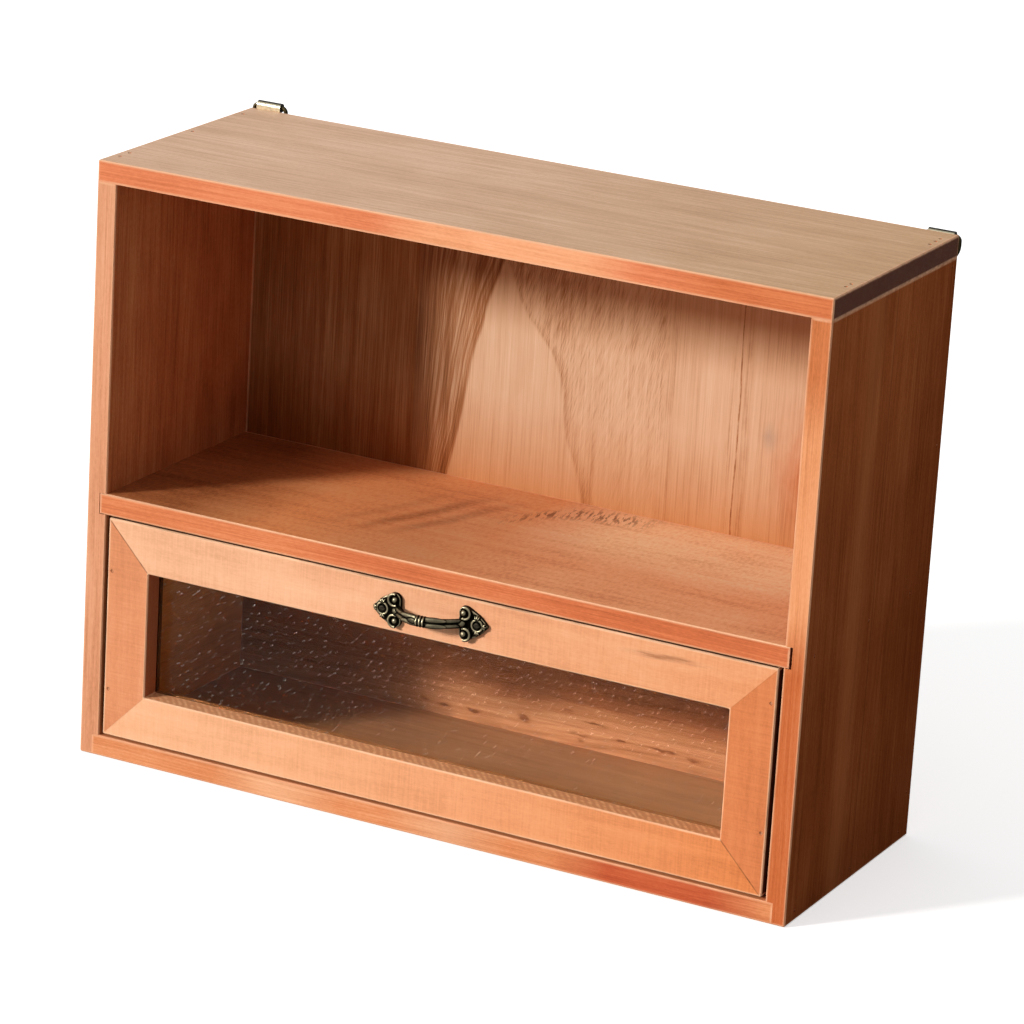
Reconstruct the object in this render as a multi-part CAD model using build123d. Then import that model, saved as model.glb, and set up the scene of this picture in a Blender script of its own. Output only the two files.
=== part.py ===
# Desktop display cabinet: an open compartment over one wide drawer with a glazed front.
# Lengths are millimetres. X runs to the right, the front faces -Y and Z is up.
# The origin is the middle of the cabinet's footprint, on the surface that it stands on.

from build123d import *
import os

# Case
WIDTH = 400.0
DEPTH = 148.0
HEIGHT = 313.0
TOP_THICKNESS = 11.0
SIDE_THICKNESS = 11.0
SHELF_THICKNESS = 11.0
BOTTOM_THICKNESS = 11.0
BACK_THICKNESS = 11.0
DRAWER_BAY_HEIGHT = 119.0       # clear height between the bottom board and the shelf
HOUSING_DEPTH = 4.0             # how far the shelf and bottom boards enter the sides
SHELF_GAP_LEFT = 0.4            # play at the end of the shelf inside each housing
SHELF_GAP_RIGHT = 1.4
ARRIS = 0.5                     # flat taken off each sharp edge

# Drawer front: a mitred frame round a pane of glass
FRONT_THICKNESS = 16.0
FRONT_SIDE_GAP = 2.3
FRONT_TOP_GAP = 0.9
FRONT_BOTTOM_GAP = 1.5
STILE_WIDTH = 24.0
TOP_RAIL_WIDTH = 25.5
BOTTOM_RAIL_WIDTH = 24.5
REBATE_WIDTH = 5.0
GLASS_THICKNESS = 2.0
GLASS_PLAY = 0.4                # gap between the pane's edge and the rebate
BEAD_THICKNESS = 3.0
BEAD_WIDTH = 4.6

# Drawer box
BOX_SIDE_THICKNESS = 7.0
BOX_BACK_THICKNESS = 11.0
BOX_BOTTOM_THICKNESS = 3.0
BOX_TOP_GAP = 12.0              # from the drawer sides up to the shelf
RUNNING_GAP = 0.3               # under the drawer, and behind it when it is shut

# Brads: headed wire nails, each punched a little below the surface
BRAD_RADIUS = 0.6
BRAD_LENGTH = 25.0
BRAD_POINT = 1.5
BRAD_HEAD_RADIUS = 0.95
BRAD_HEAD_HEIGHT = 0.7
BRAD_PUNCH = 0.4
TOP_BRAD_INSET = 4.5            # from the case's outer side to the brads in the top
TOP_LEFT_FROM_FRONT = (13.0, 22.0, 82.0)    # places along the case's depth, as the heads lie
TOP_LEFT_FROM_REAR = (16.0,)
TOP_RIGHT_FROM_FRONT = (23.0, 29.0)
TOP_RIGHT_FROM_REAR = (26.0, 19.0, 13.0)
SHELF_BRADS_FROM_FRONT = (10.7, 74.0)
SHELF_BRADS_FROM_REAR = (24.0,)
BOTTOM_BRADS_FROM_FRONT = (11.0, 76.0)
BOTTOM_BRADS_FROM_REAR = (12.0,)
BACK_BRAD_LOW = 14.0            # from the bottom board up to the lowest brad of the back
BACK_BRAD_HIGH = 3.5            # from the top board down to the highest
BACK_BRAD_COUNT = 4
FRONT_BRAD_INSET = 2.6          # from a stile's outer edge to the brads in it
LEFT_STILE_BRAD_LOW = 25.0      # from the stile's foot
LEFT_STILE_BRAD_HIGH = 28.0     # from the stile's top
RIGHT_STILE_BRAD_LOW = 32.5
RIGHT_STILE_BRAD_HIGH = 18.0
BOX_BRAD_INSET = 16.0
BOX_BRAD_COUNT = 3
BOTTOM_PANEL_BRAD_COUNT = 4

# Ring hangers on the rear edge of the top board
HANGER_INSET = 10.0             # from the case's outer side to the hanger's middle
LEFT_HANGER_RISE = 1.7          # the ring's axis above the top board's upper face
RIGHT_HANGER_RISE = -1.6
RING_WIRE_RADIUS = 1.1
RING_HALF_WIDTH = 9.4           # to the wire's centre line
RING_CORNER_RADIUS = 2.2
RING_ARM = 2.0                  # straight stretch below each corner
RING_PLAY = 0.05                # radial clearance of the wire in the rolled strap
STRAP_THICKNESS = 1.2
BARREL_WIDTH = 14.0
STRAP_DROP = 6.4                # from the ring's axis down to the screw
TONGUE_RADIUS = 4.5
HANGER_SCREW_RADIUS = 1.2
HANGER_SCREW_LENGTH = 12.0
HANGER_SCREW_HEAD_RADIUS = 2.3
HANGER_SCREW_HEAD_HEIGHT = 1.1

# Handle: a cast pull with a scrolled and petalled plate at each end
HANDLE_LIFT = -0.35             # handle's middle above the middle of the top rail
HANDLE_TILT = 2.0               # degrees: screwed on a little askew, right end high
PLATE_THICKNESS = 2.0
WEB_HEIGHT = 7.0                # of the plate between the curls and the rosette
CURL_OFFSET_X = 19.7            # middle of the handle to the curls' centres
CURL_OFFSET_Z = 5.4
CURL_RADIUS = 3.1               # to the scroll rim's centre line
CURL_RIM_RADIUS = 0.9
CURL_OPENING = 100.0            # degrees of each scroll left open, towards the bar
CURL_BALL_RADIUS = 1.9
ROSETTE_OFFSET_X = 26.4
ROSETTE_RADIUS = 3.6
ROSETTE_RIM = 1.1
ROSETTE_HEIGHT = 0.9
PETAL_REACH = 4.2               # rosette's middle to each petal's middle
PETAL_RADIUS = 2.0
PETAL_RELIEF = 0.6              # petals stand this much above the plate
BAR_REACH = 10.6                # bar's centre line in front of the rail, at the middle
BAR_FOOT_X = 18.5
BAR_FOOT_REACH = 1.6
BAR_RIDGE_RADIUS = 1.5          # the bar is two round ridges with a groove between
BAR_RIDGE_OFFSET = 1.0
COLLAR_RING_RADIUS = 3.1
COLLAR_RING_WIDTH = 1.3
COLLAR_RING_PITCH = 1.9
COLLAR_RING_COUNT = 3
HANDLE_SCREW_RADIUS = 1.0
HANDLE_SCREW_LENGTH = 12.0
HANDLE_SCREW_HEAD_RADIUS = 1.7
HANDLE_SCREW_HEAD_HEIGHT = 1.0
SCREW_POINT = 3.0
SLOT_WIDTH = 0.5
SLOT_DEPTH = 0.5

TINY = 1e-4
FRONT_TO_BACK = (0, 1, 0)
parts = {}

# Places that follow from the sizes
side_x = WIDTH / 2
inner_x = side_x - SIDE_THICKNESS
front_y = -DEPTH / 2
rear_y = DEPTH / 2
back_face_y = rear_y - BACK_THICKNESS
top_face_z = HEIGHT
top_under_z = HEIGHT - TOP_THICKNESS
bay_floor_z = BOTTOM_THICKNESS
shelf_under_z = bay_floor_z + DRAWER_BAY_HEIGHT
shelf_top_z = shelf_under_z + SHELF_THICKNESS
housing_x = inner_x + HOUSING_DEPTH

front_half_width = inner_x - FRONT_SIDE_GAP
front_low_z = bay_floor_z + FRONT_BOTTOM_GAP
front_high_z = shelf_under_z - FRONT_TOP_GAP
glass_front_y = front_y + FRONT_THICKNESS - BEAD_THICKNESS - GLASS_THICKNESS
bead_front_y = glass_front_y + GLASS_THICKNESS
box_front_y = front_y + FRONT_THICKNESS
box_rear_y = back_face_y - RUNNING_GAP
panel_low_z = bay_floor_z + RUNNING_GAP
box_low_z = panel_low_z + BOX_BOTTOM_THICKNESS
box_high_z = shelf_under_z - BOX_TOP_GAP
box_inner_x = front_half_width - BOX_SIDE_THICKNESS
box_inner_rear_y = box_rear_y - BOX_BACK_THICKNESS


def block(x, y, z):
    """A squared piece between two places along each axis."""
    size = (x[1] - x[0], y[1] - y[0], z[1] - z[0])
    return Pos(x[0], y[0], z[0]) * Box(*size, align=(Align.MIN, Align.MIN, Align.MIN))


def eased(piece, joints):
    """Plane the arris off each edge, apart from edges that lie in a joint's plane."""
    edges = []
    for edge in piece.edges():
        box = edge.bounding_box()
        lies_in_joint = False
        for axis, place in joints:
            low = getattr(box.min, axis)
            high = getattr(box.max, axis)
            if abs(low - place) < TINY and abs(high - place) < TINY:
                lies_in_joint = True
        if not lies_in_joint:
            edges.append(edge)
    return chamfer(edges, ARRIS)


def spread(low, high, count):
    """Evenly spaced places, the first and last at the two ends."""
    return [low + (high - low) * i / (count - 1) for i in range(count)]


def along_depth(from_front, from_rear):
    """Places along the case's depth, measured from its front edge and from its rear edge."""
    return [front_y + distance for distance in from_front] + [rear_y - distance for distance in from_rear]


def pin(head_radius, head_height, radius, length, point):
    """A nail or screw blank that points along +Z, with its flat head from Z 0."""
    base = (Align.CENTER, Align.CENTER, Align.MIN)
    head = Cylinder(head_radius, head_height, align=base)
    shank = Cylinder(radius, length - point, align=base)
    tip = Pos(0, 0, length - point) * Cone(radius, radius / 5, point, align=base)
    return head + shank + tip


def brads(places, direction):
    """Brads driven at these surface points, and the holes that they leave."""
    base = (Align.CENTER, Align.CENTER, Align.MIN)
    nail = pin(BRAD_HEAD_RADIUS, BRAD_HEAD_HEIGHT, BRAD_RADIUS, BRAD_LENGTH, BRAD_POINT)
    nail = Pos(0, 0, BRAD_PUNCH) * nail
    hole = nail + Cylinder(BRAD_HEAD_RADIUS, BRAD_PUNCH + BRAD_HEAD_HEIGHT, align=base)
    nails = []
    holes = []
    for place in places:
        seat = Plane(origin=place, z_dir=direction).location
        nails.append(seat * nail)
        holes.append(seat * hole)
    return nails, holes


def drilled(piece, holes):
    for hole in holes:
        piece = piece - hole
    return piece


# Case boards

top_board = block((-side_x, side_x), (front_y, rear_y), (top_under_z, top_face_z))
top_board = eased(top_board, [("Z", top_under_z)])


def side_board(hand):
    """Side board of one hand, with a stopped housing for the shelf and a rebate at its foot."""
    outer = hand * side_x
    inner = hand * inner_x
    bed = hand * housing_x
    x = sorted((outer, inner))
    cut_x = sorted((inner - hand, bed))
    board = block(x, (front_y, rear_y), (0, top_under_z))
    board = eased(board, [("Z", top_under_z)])
    board -= block(cut_x, (front_y - 1, back_face_y), (shelf_under_z, shelf_top_z))
    board -= block(cut_x, (front_y - 1, rear_y + 1), (-1, bay_floor_z))
    return board


left_side_board = side_board(-1)
right_side_board = side_board(1)

shelf_x = (-housing_x + SHELF_GAP_LEFT, housing_x - SHELF_GAP_RIGHT)
shelf_board = block(shelf_x, (front_y, back_face_y), (shelf_under_z, shelf_top_z))
shelf_board = eased(shelf_board, [("X", shelf_x[0]), ("X", shelf_x[1]), ("Y", back_face_y)])

bottom_board = block((-housing_x, housing_x), (front_y, rear_y), (0, bay_floor_z))
bottom_board = eased(bottom_board, [("X", -housing_x), ("X", housing_x)])

back_board = block((-inner_x, inner_x), (back_face_y, rear_y), (bay_floor_z, top_under_z))

# Brads of the case

top_left_y = along_depth(TOP_LEFT_FROM_FRONT, TOP_LEFT_FROM_REAR)
top_right_y = along_depth(TOP_RIGHT_FROM_FRONT, TOP_RIGHT_FROM_REAR)
top_brad_x = side_x - TOP_BRAD_INSET
top_points = [(-top_brad_x, y, top_face_z) for y in top_left_y]
top_points += [(top_brad_x, y, top_face_z) for y in top_right_y]
top_brads, top_holes = brads(top_points, (0, 0, -1))

shelf_middle_z = (shelf_under_z + shelf_top_z) / 2
bottom_middle_z = bay_floor_z / 2
back_middle_y = (back_face_y + rear_y) / 2
shelf_brad_y = along_depth(SHELF_BRADS_FROM_FRONT, SHELF_BRADS_FROM_REAR)
bottom_brad_y = along_depth(BOTTOM_BRADS_FROM_FRONT, BOTTOM_BRADS_FROM_REAR)
back_brad_z = spread(bay_floor_z + BACK_BRAD_LOW, top_under_z - BACK_BRAD_HIGH, BACK_BRAD_COUNT)


def side_brads(yz_places):
    """Brads through both side boards at the same heights and depths."""
    left_nails, left_holes = brads([(-side_x, y, z) for y, z in yz_places], (1, 0, 0))
    right_nails, right_holes = brads([(side_x, y, z) for y, z in yz_places], (-1, 0, 0))
    return left_nails + right_nails, left_holes, right_holes


shelf_brads, shelf_left, shelf_right = side_brads([(y, shelf_middle_z) for y in shelf_brad_y])
bottom_brads, bottom_left, bottom_right = side_brads([(y, bottom_middle_z) for y in bottom_brad_y])
back_brads, back_left, back_right = side_brads([(back_middle_y, z) for z in back_brad_z])

top_board = drilled(top_board, top_holes)
left_side_board = drilled(left_side_board, top_holes + shelf_left + bottom_left + back_left)
right_side_board = drilled(right_side_board, top_holes + shelf_right + bottom_right + back_right)
shelf_board = drilled(shelf_board, shelf_left + shelf_right)
bottom_board = drilled(bottom_board, bottom_left + bottom_right)
back_board = drilled(back_board, back_left + back_right)

# Ring hangers

barrel_radius = RING_WIRE_RADIUS + RING_PLAY + STRAP_THICKNESS
ring_axis_y = rear_y + barrel_radius


def slotted(head_radius):
    """Cutter for a screw's slot, across a head whose outer face is at Z 0."""
    return Box(head_radius * 4, SLOT_WIDTH, SLOT_DEPTH * 2)


def hanger(hand, rise):
    """Strap, ring, screw and screw hole of one hanger, with its ring hanging plumb."""
    centre_x = hand * (side_x - HANGER_INSET)
    axis_z = top_face_z + rise
    barrel = Rot(0, 90, 0) * Cylinder(barrel_radius, BARREL_WIDTH)
    bore = Rot(0, 90, 0) * Cylinder(RING_WIRE_RADIUS + RING_PLAY, BARREL_WIDTH + 2)
    half = BARREL_WIDTH / 2
    shoulder_z = -barrel_radius - 0.5
    outline = Polyline(
        (-half, -barrel_radius, 0),
        (half, -barrel_radius, 0),
        (half, -barrel_radius, shoulder_z),
        (TONGUE_RADIUS, -barrel_radius, -STRAP_DROP),
        (-TONGUE_RADIUS, -barrel_radius, -STRAP_DROP),
        (-half, -barrel_radius, shoulder_z),
        close=True,
    )
    plate = extrude(make_face(outline), amount=STRAP_THICKNESS, dir=FRONT_TO_BACK)
    to_rear = Plane(origin=(0, -barrel_radius, -STRAP_DROP), z_dir=FRONT_TO_BACK).location
    base = (Align.CENTER, Align.CENTER, Align.MIN)
    tongue = to_rear * Cylinder(TONGUE_RADIUS, STRAP_THICKNESS, align=base)
    strap = barrel + plate + tongue - bore

    outer_y = -barrel_radius + STRAP_THICKNESS
    into_wood = Plane(origin=(0, outer_y, -STRAP_DROP), z_dir=(0, -1, 0)).location
    head = Cone(HANGER_SCREW_HEAD_RADIUS, HANGER_SCREW_RADIUS, HANGER_SCREW_HEAD_HEIGHT, align=base)
    shank = pin(HANGER_SCREW_RADIUS, HANGER_SCREW_HEAD_HEIGHT, HANGER_SCREW_RADIUS,
                HANGER_SCREW_LENGTH, SCREW_POINT)
    blank = head + shank
    screw = into_wood * (blank - slotted(HANGER_SCREW_HEAD_RADIUS))
    screw_hole = into_wood * blank

    place = Pos(centre_x, ring_axis_y, axis_z)
    return (place * (strap - screw_hole), place * ring(), place * screw, place * screw_hole)


def wire_run(start, end):
    """Straight stretch of the ring's wire, in the XZ plane."""
    run = Vector(*end) - Vector(*start)
    stretch = Cylinder(RING_WIRE_RADIUS, run.length, align=(Align.CENTER, Align.CENTER, Align.MIN))
    return Plane(origin=start, z_dir=run).location * stretch


def wire_bend(centre, radius, start_angle, turn):
    """Bent stretch of the ring's wire: angles in degrees in the XZ plane, from X towards Z."""
    section = Plane(origin=(radius, 0, 0), z_dir=(0, 0, 1)).location * Circle(RING_WIRE_RADIUS)
    bend = revolve(section, axis=Axis((0, 0, 0), (0, -1, 0)), revolution_arc=turn)
    return Pos(*centre) * Rot(0, -start_angle, 0) * bend


def ring():
    """D-shaped ring: a straight bar in the rolled strap, two corners, two arms and a half round."""
    flat = RING_HALF_WIDTH - RING_CORNER_RADIUS
    low = -RING_CORNER_RADIUS
    foot = low - RING_ARM
    wire = wire_run((-flat, 0, 0), (flat, 0, 0))
    wire += wire_bend((flat, 0, low), RING_CORNER_RADIUS, 0, 90)
    wire += wire_bend((-flat, 0, low), RING_CORNER_RADIUS, 90, 90)
    wire += wire_run((RING_HALF_WIDTH, 0, low), (RING_HALF_WIDTH, 0, foot))
    wire += wire_run((-RING_HALF_WIDTH, 0, low), (-RING_HALF_WIDTH, 0, foot))
    wire += wire_bend((0, 0, foot), RING_HALF_WIDTH, 180, 180)
    return wire


left_strap, left_ring, left_screw, left_screw_hole = hanger(-1, LEFT_HANGER_RISE)
right_strap, right_ring, right_screw, right_screw_hole = hanger(1, RIGHT_HANGER_RISE)
top_board = drilled(top_board, [left_screw_hole, right_screw_hole])

# Drawer front: each outline is (low X, high X, low Z, high Z)

frame_outer = (-front_half_width, front_half_width, front_low_z, front_high_z)
opening = (-front_half_width + STILE_WIDTH, front_half_width - STILE_WIDTH,
           front_low_z + BOTTOM_RAIL_WIDTH, front_high_z - TOP_RAIL_WIDTH)


def grown(outline, amount):
    return (outline[0] - amount, outline[1] + amount, outline[2] - amount, outline[3] + amount)


def slab(outline, y):
    return block(outline[0:2], y, outline[2:4])


def mitred(frame, outer, inner, y):
    """Saw a frame into top, bottom, left and right members through its corners."""
    def corner(ix, iz, reach):
        """Point on one corner's mitre line: reach 0 is the inner corner, 1 the outer one."""
        x = inner[ix] + (outer[ix] - inner[ix]) * reach
        z = inner[2 + iz] + (outer[2 + iz] - inner[2 + iz]) * reach
        return (x, y[0], z)

    wedges = {
        "top": ((0, 1), (1, 1)),
        "bottom": ((0, 0), (1, 0)),
        "left": ((0, 0), (0, 1)),
        "right": ((1, 0), (1, 1)),
    }
    members = {}
    for name, (start, end) in wedges.items():
        points = [corner(*start, 1.2), corner(*end, 1.2), corner(*end, -0.1), corner(*start, -0.1)]
        wedge = extrude(make_face(Polyline(*points, close=True)), amount=y[1] - y[0], dir=FRONT_TO_BACK)
        members[name] = frame & wedge
    return members


rebate = grown(opening, REBATE_WIDTH)
front_blank = slab(frame_outer, (front_y, box_front_y)) - slab(opening, (front_y, box_front_y))
front_blank = eased(front_blank, [("Y", box_front_y)])
front_blank -= slab(rebate, (glass_front_y, box_front_y))
front_members = mitred(front_blank, frame_outer, opening, (front_y, box_front_y))

pane = grown(opening, REBATE_WIDTH - GLASS_PLAY)
glass_pane = slab(pane, (glass_front_y, bead_front_y))

bead_inner = grown(rebate, -BEAD_WIDTH)
bead_ring = slab(rebate, (bead_front_y, box_front_y)) - slab(bead_inner, (bead_front_y, box_front_y))
beads = mitred(bead_ring, rebate, bead_inner, (bead_front_y, box_front_y))

# Drawer box


def box_side(hand):
    outer = hand * front_half_width
    inner = hand * box_inner_x
    side = block(sorted((outer, inner)), (box_front_y, box_rear_y), (box_low_z, box_high_z))
    return eased(side, [("Y", box_front_y), ("Y", box_rear_y), ("Z", box_low_z)])


drawer_left_side = box_side(-1)
drawer_right_side = box_side(1)
drawer_back = block((-box_inner_x, box_inner_x), (box_inner_rear_y, box_rear_y), (box_low_z, box_high_z))
drawer_back = eased(drawer_back, [("X", -box_inner_x), ("X", box_inner_x), ("Z", box_low_z)])
drawer_bottom_panel = block((-front_half_width, front_half_width), (box_front_y, box_rear_y),
                            (panel_low_z, box_low_z))

# Brads of the drawer

front_brad_x = front_half_width - FRONT_BRAD_INSET
front_points = [
    (-front_brad_x, front_y, front_low_z + LEFT_STILE_BRAD_LOW),
    (-front_brad_x, front_y, front_high_z - LEFT_STILE_BRAD_HIGH),
    (front_brad_x, front_y, front_low_z + RIGHT_STILE_BRAD_LOW),
    (front_brad_x, front_y, front_high_z - RIGHT_STILE_BRAD_HIGH),
]
front_brads, front_holes = brads(front_points, FRONT_TO_BACK)

box_back_middle_y = (box_inner_rear_y + box_rear_y) / 2
box_brad_z = spread(box_low_z + BOX_BRAD_INSET, box_high_z - BOX_BRAD_INSET, BOX_BRAD_COUNT)
box_left_points = [(-front_half_width, box_back_middle_y, z) for z in box_brad_z]
box_right_points = [(front_half_width, box_back_middle_y, z) for z in box_brad_z]
box_left_brads, box_left_holes = brads(box_left_points, (1, 0, 0))
box_right_brads, box_right_holes = brads(box_right_points, (-1, 0, 0))

panel_brad_x = (front_half_width + box_inner_x) / 2
panel_side_y = spread(box_front_y + BOX_BRAD_INSET, box_inner_rear_y - BOX_BRAD_INSET,
                      BOTTOM_PANEL_BRAD_COUNT)
panel_back_x = spread(-box_inner_x + BOX_BRAD_INSET * 2, box_inner_x - BOX_BRAD_INSET * 2,
                      BOTTOM_PANEL_BRAD_COUNT)
panel_points = [(hand * panel_brad_x, y, panel_low_z) for hand in (-1, 1) for y in panel_side_y]
panel_points += [(x, box_back_middle_y, panel_low_z) for x in panel_back_x]
panel_brads, panel_holes = brads(panel_points, (0, 0, 1))

left_stile = drilled(front_members["left"], front_holes[0:2])
right_stile = drilled(front_members["right"], front_holes[2:4])
drawer_left_side = drilled(drawer_left_side, front_holes[0:2] + box_left_holes + panel_holes[0:4])
drawer_right_side = drilled(drawer_right_side, front_holes[2:4] + box_right_holes + panel_holes[4:8])
drawer_back = drilled(drawer_back, box_left_holes + box_right_holes + panel_holes[8:12])
drawer_bottom_panel = drilled(drawer_bottom_panel, panel_holes)

# Handle, modelled with its back on Z 0 and its face towards +Z, then set on the top rail

handle_z = front_high_z - TOP_RAIL_WIDTH / 2 + HANDLE_LIFT
on_rail = Plane(origin=(0, front_y, handle_z), x_dir=(1, 0, 0), z_dir=(0, -1, 0)).location
on_rail = on_rail * Rot(0, 0, HANDLE_TILT)
on_face = (Align.CENTER, Align.CENTER, Align.MIN)


def curl(up):
    """Scroll of the right-hand plate: a ball inside an open round rim."""
    disc = Cylinder(CURL_RADIUS, PLATE_THICKNESS, align=on_face)
    ball = Pos(0, 0, PLATE_THICKNESS) * Sphere(CURL_BALL_RADIUS)
    rim_turn = 360 - CURL_OPENING
    section = Plane(origin=(CURL_RADIUS, 0, 0), z_dir=(0, 1, 0)).location * Circle(CURL_RIM_RADIUS)
    rim = revolve(section, axis=Axis.Z, revolution_arc=rim_turn)
    rim = Pos(0, 0, PLATE_THICKNESS) * Rot(0, 0, -rim_turn / 2) * rim
    return Pos(CURL_OFFSET_X, up * CURL_OFFSET_Z, 0) * (disc + ball + rim)


def rosette():
    """Dished seat of the screw, with a petal above, below and at the outer end."""
    seat = Cylinder(ROSETTE_RADIUS, PLATE_THICKNESS + ROSETTE_HEIGHT, align=on_face)
    dish = Cylinder(ROSETTE_RADIUS - ROSETTE_RIM, ROSETTE_HEIGHT * 2, align=on_face)
    seat -= Pos(0, 0, PLATE_THICKNESS) * dish
    for turn in (-90, 0, 90):
        petal = Cylinder(PETAL_RADIUS, PLATE_THICKNESS + PETAL_RELIEF, align=on_face)
        petal = Rot(0, 0, turn) * Pos(PETAL_REACH, 0, 0) * petal
        seat += petal - Pos(0, 0, PLATE_THICKNESS) * dish
    return Pos(ROSETTE_OFFSET_X, 0, 0) * seat


def handle_plate():
    """Right-hand end plate."""
    web_length = ROSETTE_OFFSET_X - CURL_OFFSET_X
    web = Pos(CURL_OFFSET_X, 0, 0) * Box(web_length, WEB_HEIGHT, PLATE_THICKNESS,
                                         align=(Align.MIN, Align.CENTER, Align.MIN))
    return web + rosette() + curl(1) + curl(-1)


def handle_bar():
    """Bar of two ridges bowed along one arc, with rings round its middle."""
    bar = None
    for up in (-1, 1):
        y = up * BAR_RIDGE_OFFSET
        left_foot = (-BAR_FOOT_X, y, BAR_FOOT_REACH)
        right_foot = (BAR_FOOT_X, y, BAR_FOOT_REACH)
        path = ThreePointArc(left_foot, (0, y, BAR_REACH), right_foot)
        section = Plane(origin=path @ 0, z_dir=path % 0).location * Circle(BAR_RIDGE_RADIUS)
        ridge = sweep(section, path=path)
        foot = Pos(*right_foot) * Sphere(BAR_RIDGE_RADIUS)
        ridge += foot + mirror(foot, about=Plane.YZ)
        bar = ridge if bar is None else bar + ridge
    first = -COLLAR_RING_PITCH * (COLLAR_RING_COUNT - 1) / 2
    for i in range(COLLAR_RING_COUNT):
        collar = Cylinder(COLLAR_RING_RADIUS, COLLAR_RING_WIDTH)
        collar = fillet(collar.edges(), COLLAR_RING_WIDTH * 0.45)
        bar += Pos(first + i * COLLAR_RING_PITCH, 0, BAR_REACH) * Rot(0, 90, 0) * collar
    return bar


right_plate = handle_plate()
left_plate = mirror(right_plate, about=Plane.YZ)
handle_blank = handle_bar() + right_plate + left_plate

into_rail = Pos(0, 0, PLATE_THICKNESS) * Rot(180, 0, 0)
handle_pin = pin(HANDLE_SCREW_RADIUS, SLOT_DEPTH, HANDLE_SCREW_RADIUS, HANDLE_SCREW_LENGTH, SCREW_POINT)
below_face = (Align.CENTER, Align.CENTER, Align.MAX)
dome = Cylinder(HANDLE_SCREW_HEAD_RADIUS, HANDLE_SCREW_HEAD_HEIGHT, align=below_face)
dome = fillet(dome.edges().group_by(Axis.Z)[0], HANDLE_SCREW_HEAD_HEIGHT * 0.7)
slot = Pos(0, 0, -HANDLE_SCREW_HEAD_HEIGHT) * slotted(HANDLE_SCREW_HEAD_RADIUS)
handle_screws = []
handle_holes = []
for hand in (-1, 1):
    seat = on_rail * Pos(hand * ROSETTE_OFFSET_X, 0, 0) * into_rail
    handle_screws.append(seat * (handle_pin + dome - slot))
    handle_holes.append(seat * handle_pin)
drawer_handle = drilled(on_rail * handle_blank, handle_holes)
top_rail = drilled(front_members["top"], handle_holes)

parts["top_board"] = top_board
parts["left_side_board"] = left_side_board
parts["right_side_board"] = right_side_board
parts["shelf_board"] = shelf_board
parts["bottom_board"] = bottom_board
parts["back_board"] = back_board
parts["top_board_brads"] = top_brads
parts["shelf_brads"] = shelf_brads
parts["bottom_board_brads"] = bottom_brads
parts["back_board_brads"] = back_brads
parts["left_hanger_strap"] = left_strap
parts["right_hanger_strap"] = right_strap
parts["left_hanger_ring"] = left_ring
parts["right_hanger_ring"] = right_ring
parts["hanger_screws"] = [left_screw, right_screw]
parts["drawer_top_rail"] = top_rail
parts["drawer_bottom_rail"] = front_members["bottom"]
parts["drawer_left_stile"] = left_stile
parts["drawer_right_stile"] = right_stile
parts["glass_pane"] = glass_pane
for name, bead in beads.items():
    parts[name + "_glazing_bead"] = bead
parts["drawer_left_side"] = drawer_left_side
parts["drawer_right_side"] = drawer_right_side
parts["drawer_back"] = drawer_back
parts["drawer_bottom_panel"] = drawer_bottom_panel
parts["drawer_front_brads"] = front_brads
parts["drawer_back_brads"] = box_left_brads + box_right_brads
parts["drawer_bottom_brads"] = panel_brads
parts["drawer_handle"] = drawer_handle
parts["handle_screws"] = handle_screws

os.makedirs("parts", exist_ok=True)
for name, shape in parts.items():
    if isinstance(shape, list):
        shape = Compound(children=[piece.solid() for piece in shape])
    export_step(shape, "parts/" + name + ".step")
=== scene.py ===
# %% [markdown]
# # A desktop cabinet with a glazed drawer
# The cabinet is a small case of stained boards: an open compartment above, one wide drawer with a
# glass front below, a cast handle, and two ring hangers on the back. Its boards, nails, glass and
# hangers come ready made, at their real size in metres, so this lesson gives them their finishes,
# casts a finer handle, and sets up the light and the camera.

# %% Load the model
import math

import bmesh
import bpy
from mathutils import Matrix, Vector


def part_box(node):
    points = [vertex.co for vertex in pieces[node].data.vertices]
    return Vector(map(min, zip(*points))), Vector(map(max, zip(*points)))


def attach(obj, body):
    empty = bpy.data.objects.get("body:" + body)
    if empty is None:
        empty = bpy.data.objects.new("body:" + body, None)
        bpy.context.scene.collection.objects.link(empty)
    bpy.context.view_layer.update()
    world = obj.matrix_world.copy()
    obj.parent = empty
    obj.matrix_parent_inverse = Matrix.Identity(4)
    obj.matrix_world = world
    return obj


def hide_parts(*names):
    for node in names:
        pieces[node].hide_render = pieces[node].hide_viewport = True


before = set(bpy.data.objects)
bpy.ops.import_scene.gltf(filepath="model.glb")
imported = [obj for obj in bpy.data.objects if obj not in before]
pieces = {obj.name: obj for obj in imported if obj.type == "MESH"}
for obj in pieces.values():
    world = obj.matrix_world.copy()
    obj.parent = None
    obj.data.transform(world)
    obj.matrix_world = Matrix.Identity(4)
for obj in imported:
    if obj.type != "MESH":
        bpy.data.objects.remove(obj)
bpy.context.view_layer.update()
scene = bpy.context.scene

# %% [markdown]
# ## Three helpers for the finishes
# Colours are picked as sRGB hex codes, as a paint chart gives them, but shaders add up light, so one
# function turns a code into linear values. Sizes are written in millimetres and turned to metres.
# Every finish is a network of nodes, so one more function adds a node with its settings and links.

# %% Helpers for colours, sizes and nodes
MM = 0.001


def hex_colour(code):
    """Linear RGBA of an sRGB hex code."""
    channels = [int(code[i:i + 2], 16) / 255 for i in (1, 3, 5)]
    linear = [c / 12.92 if c <= 0.04045 else ((c + 0.055) / 1.055) ** 2.4 for c in channels]
    return (*linear, 1.0)


def metres(*lengths):
    """A place or size in millimetres, as metres."""
    return Vector(lengths) * MM


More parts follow.
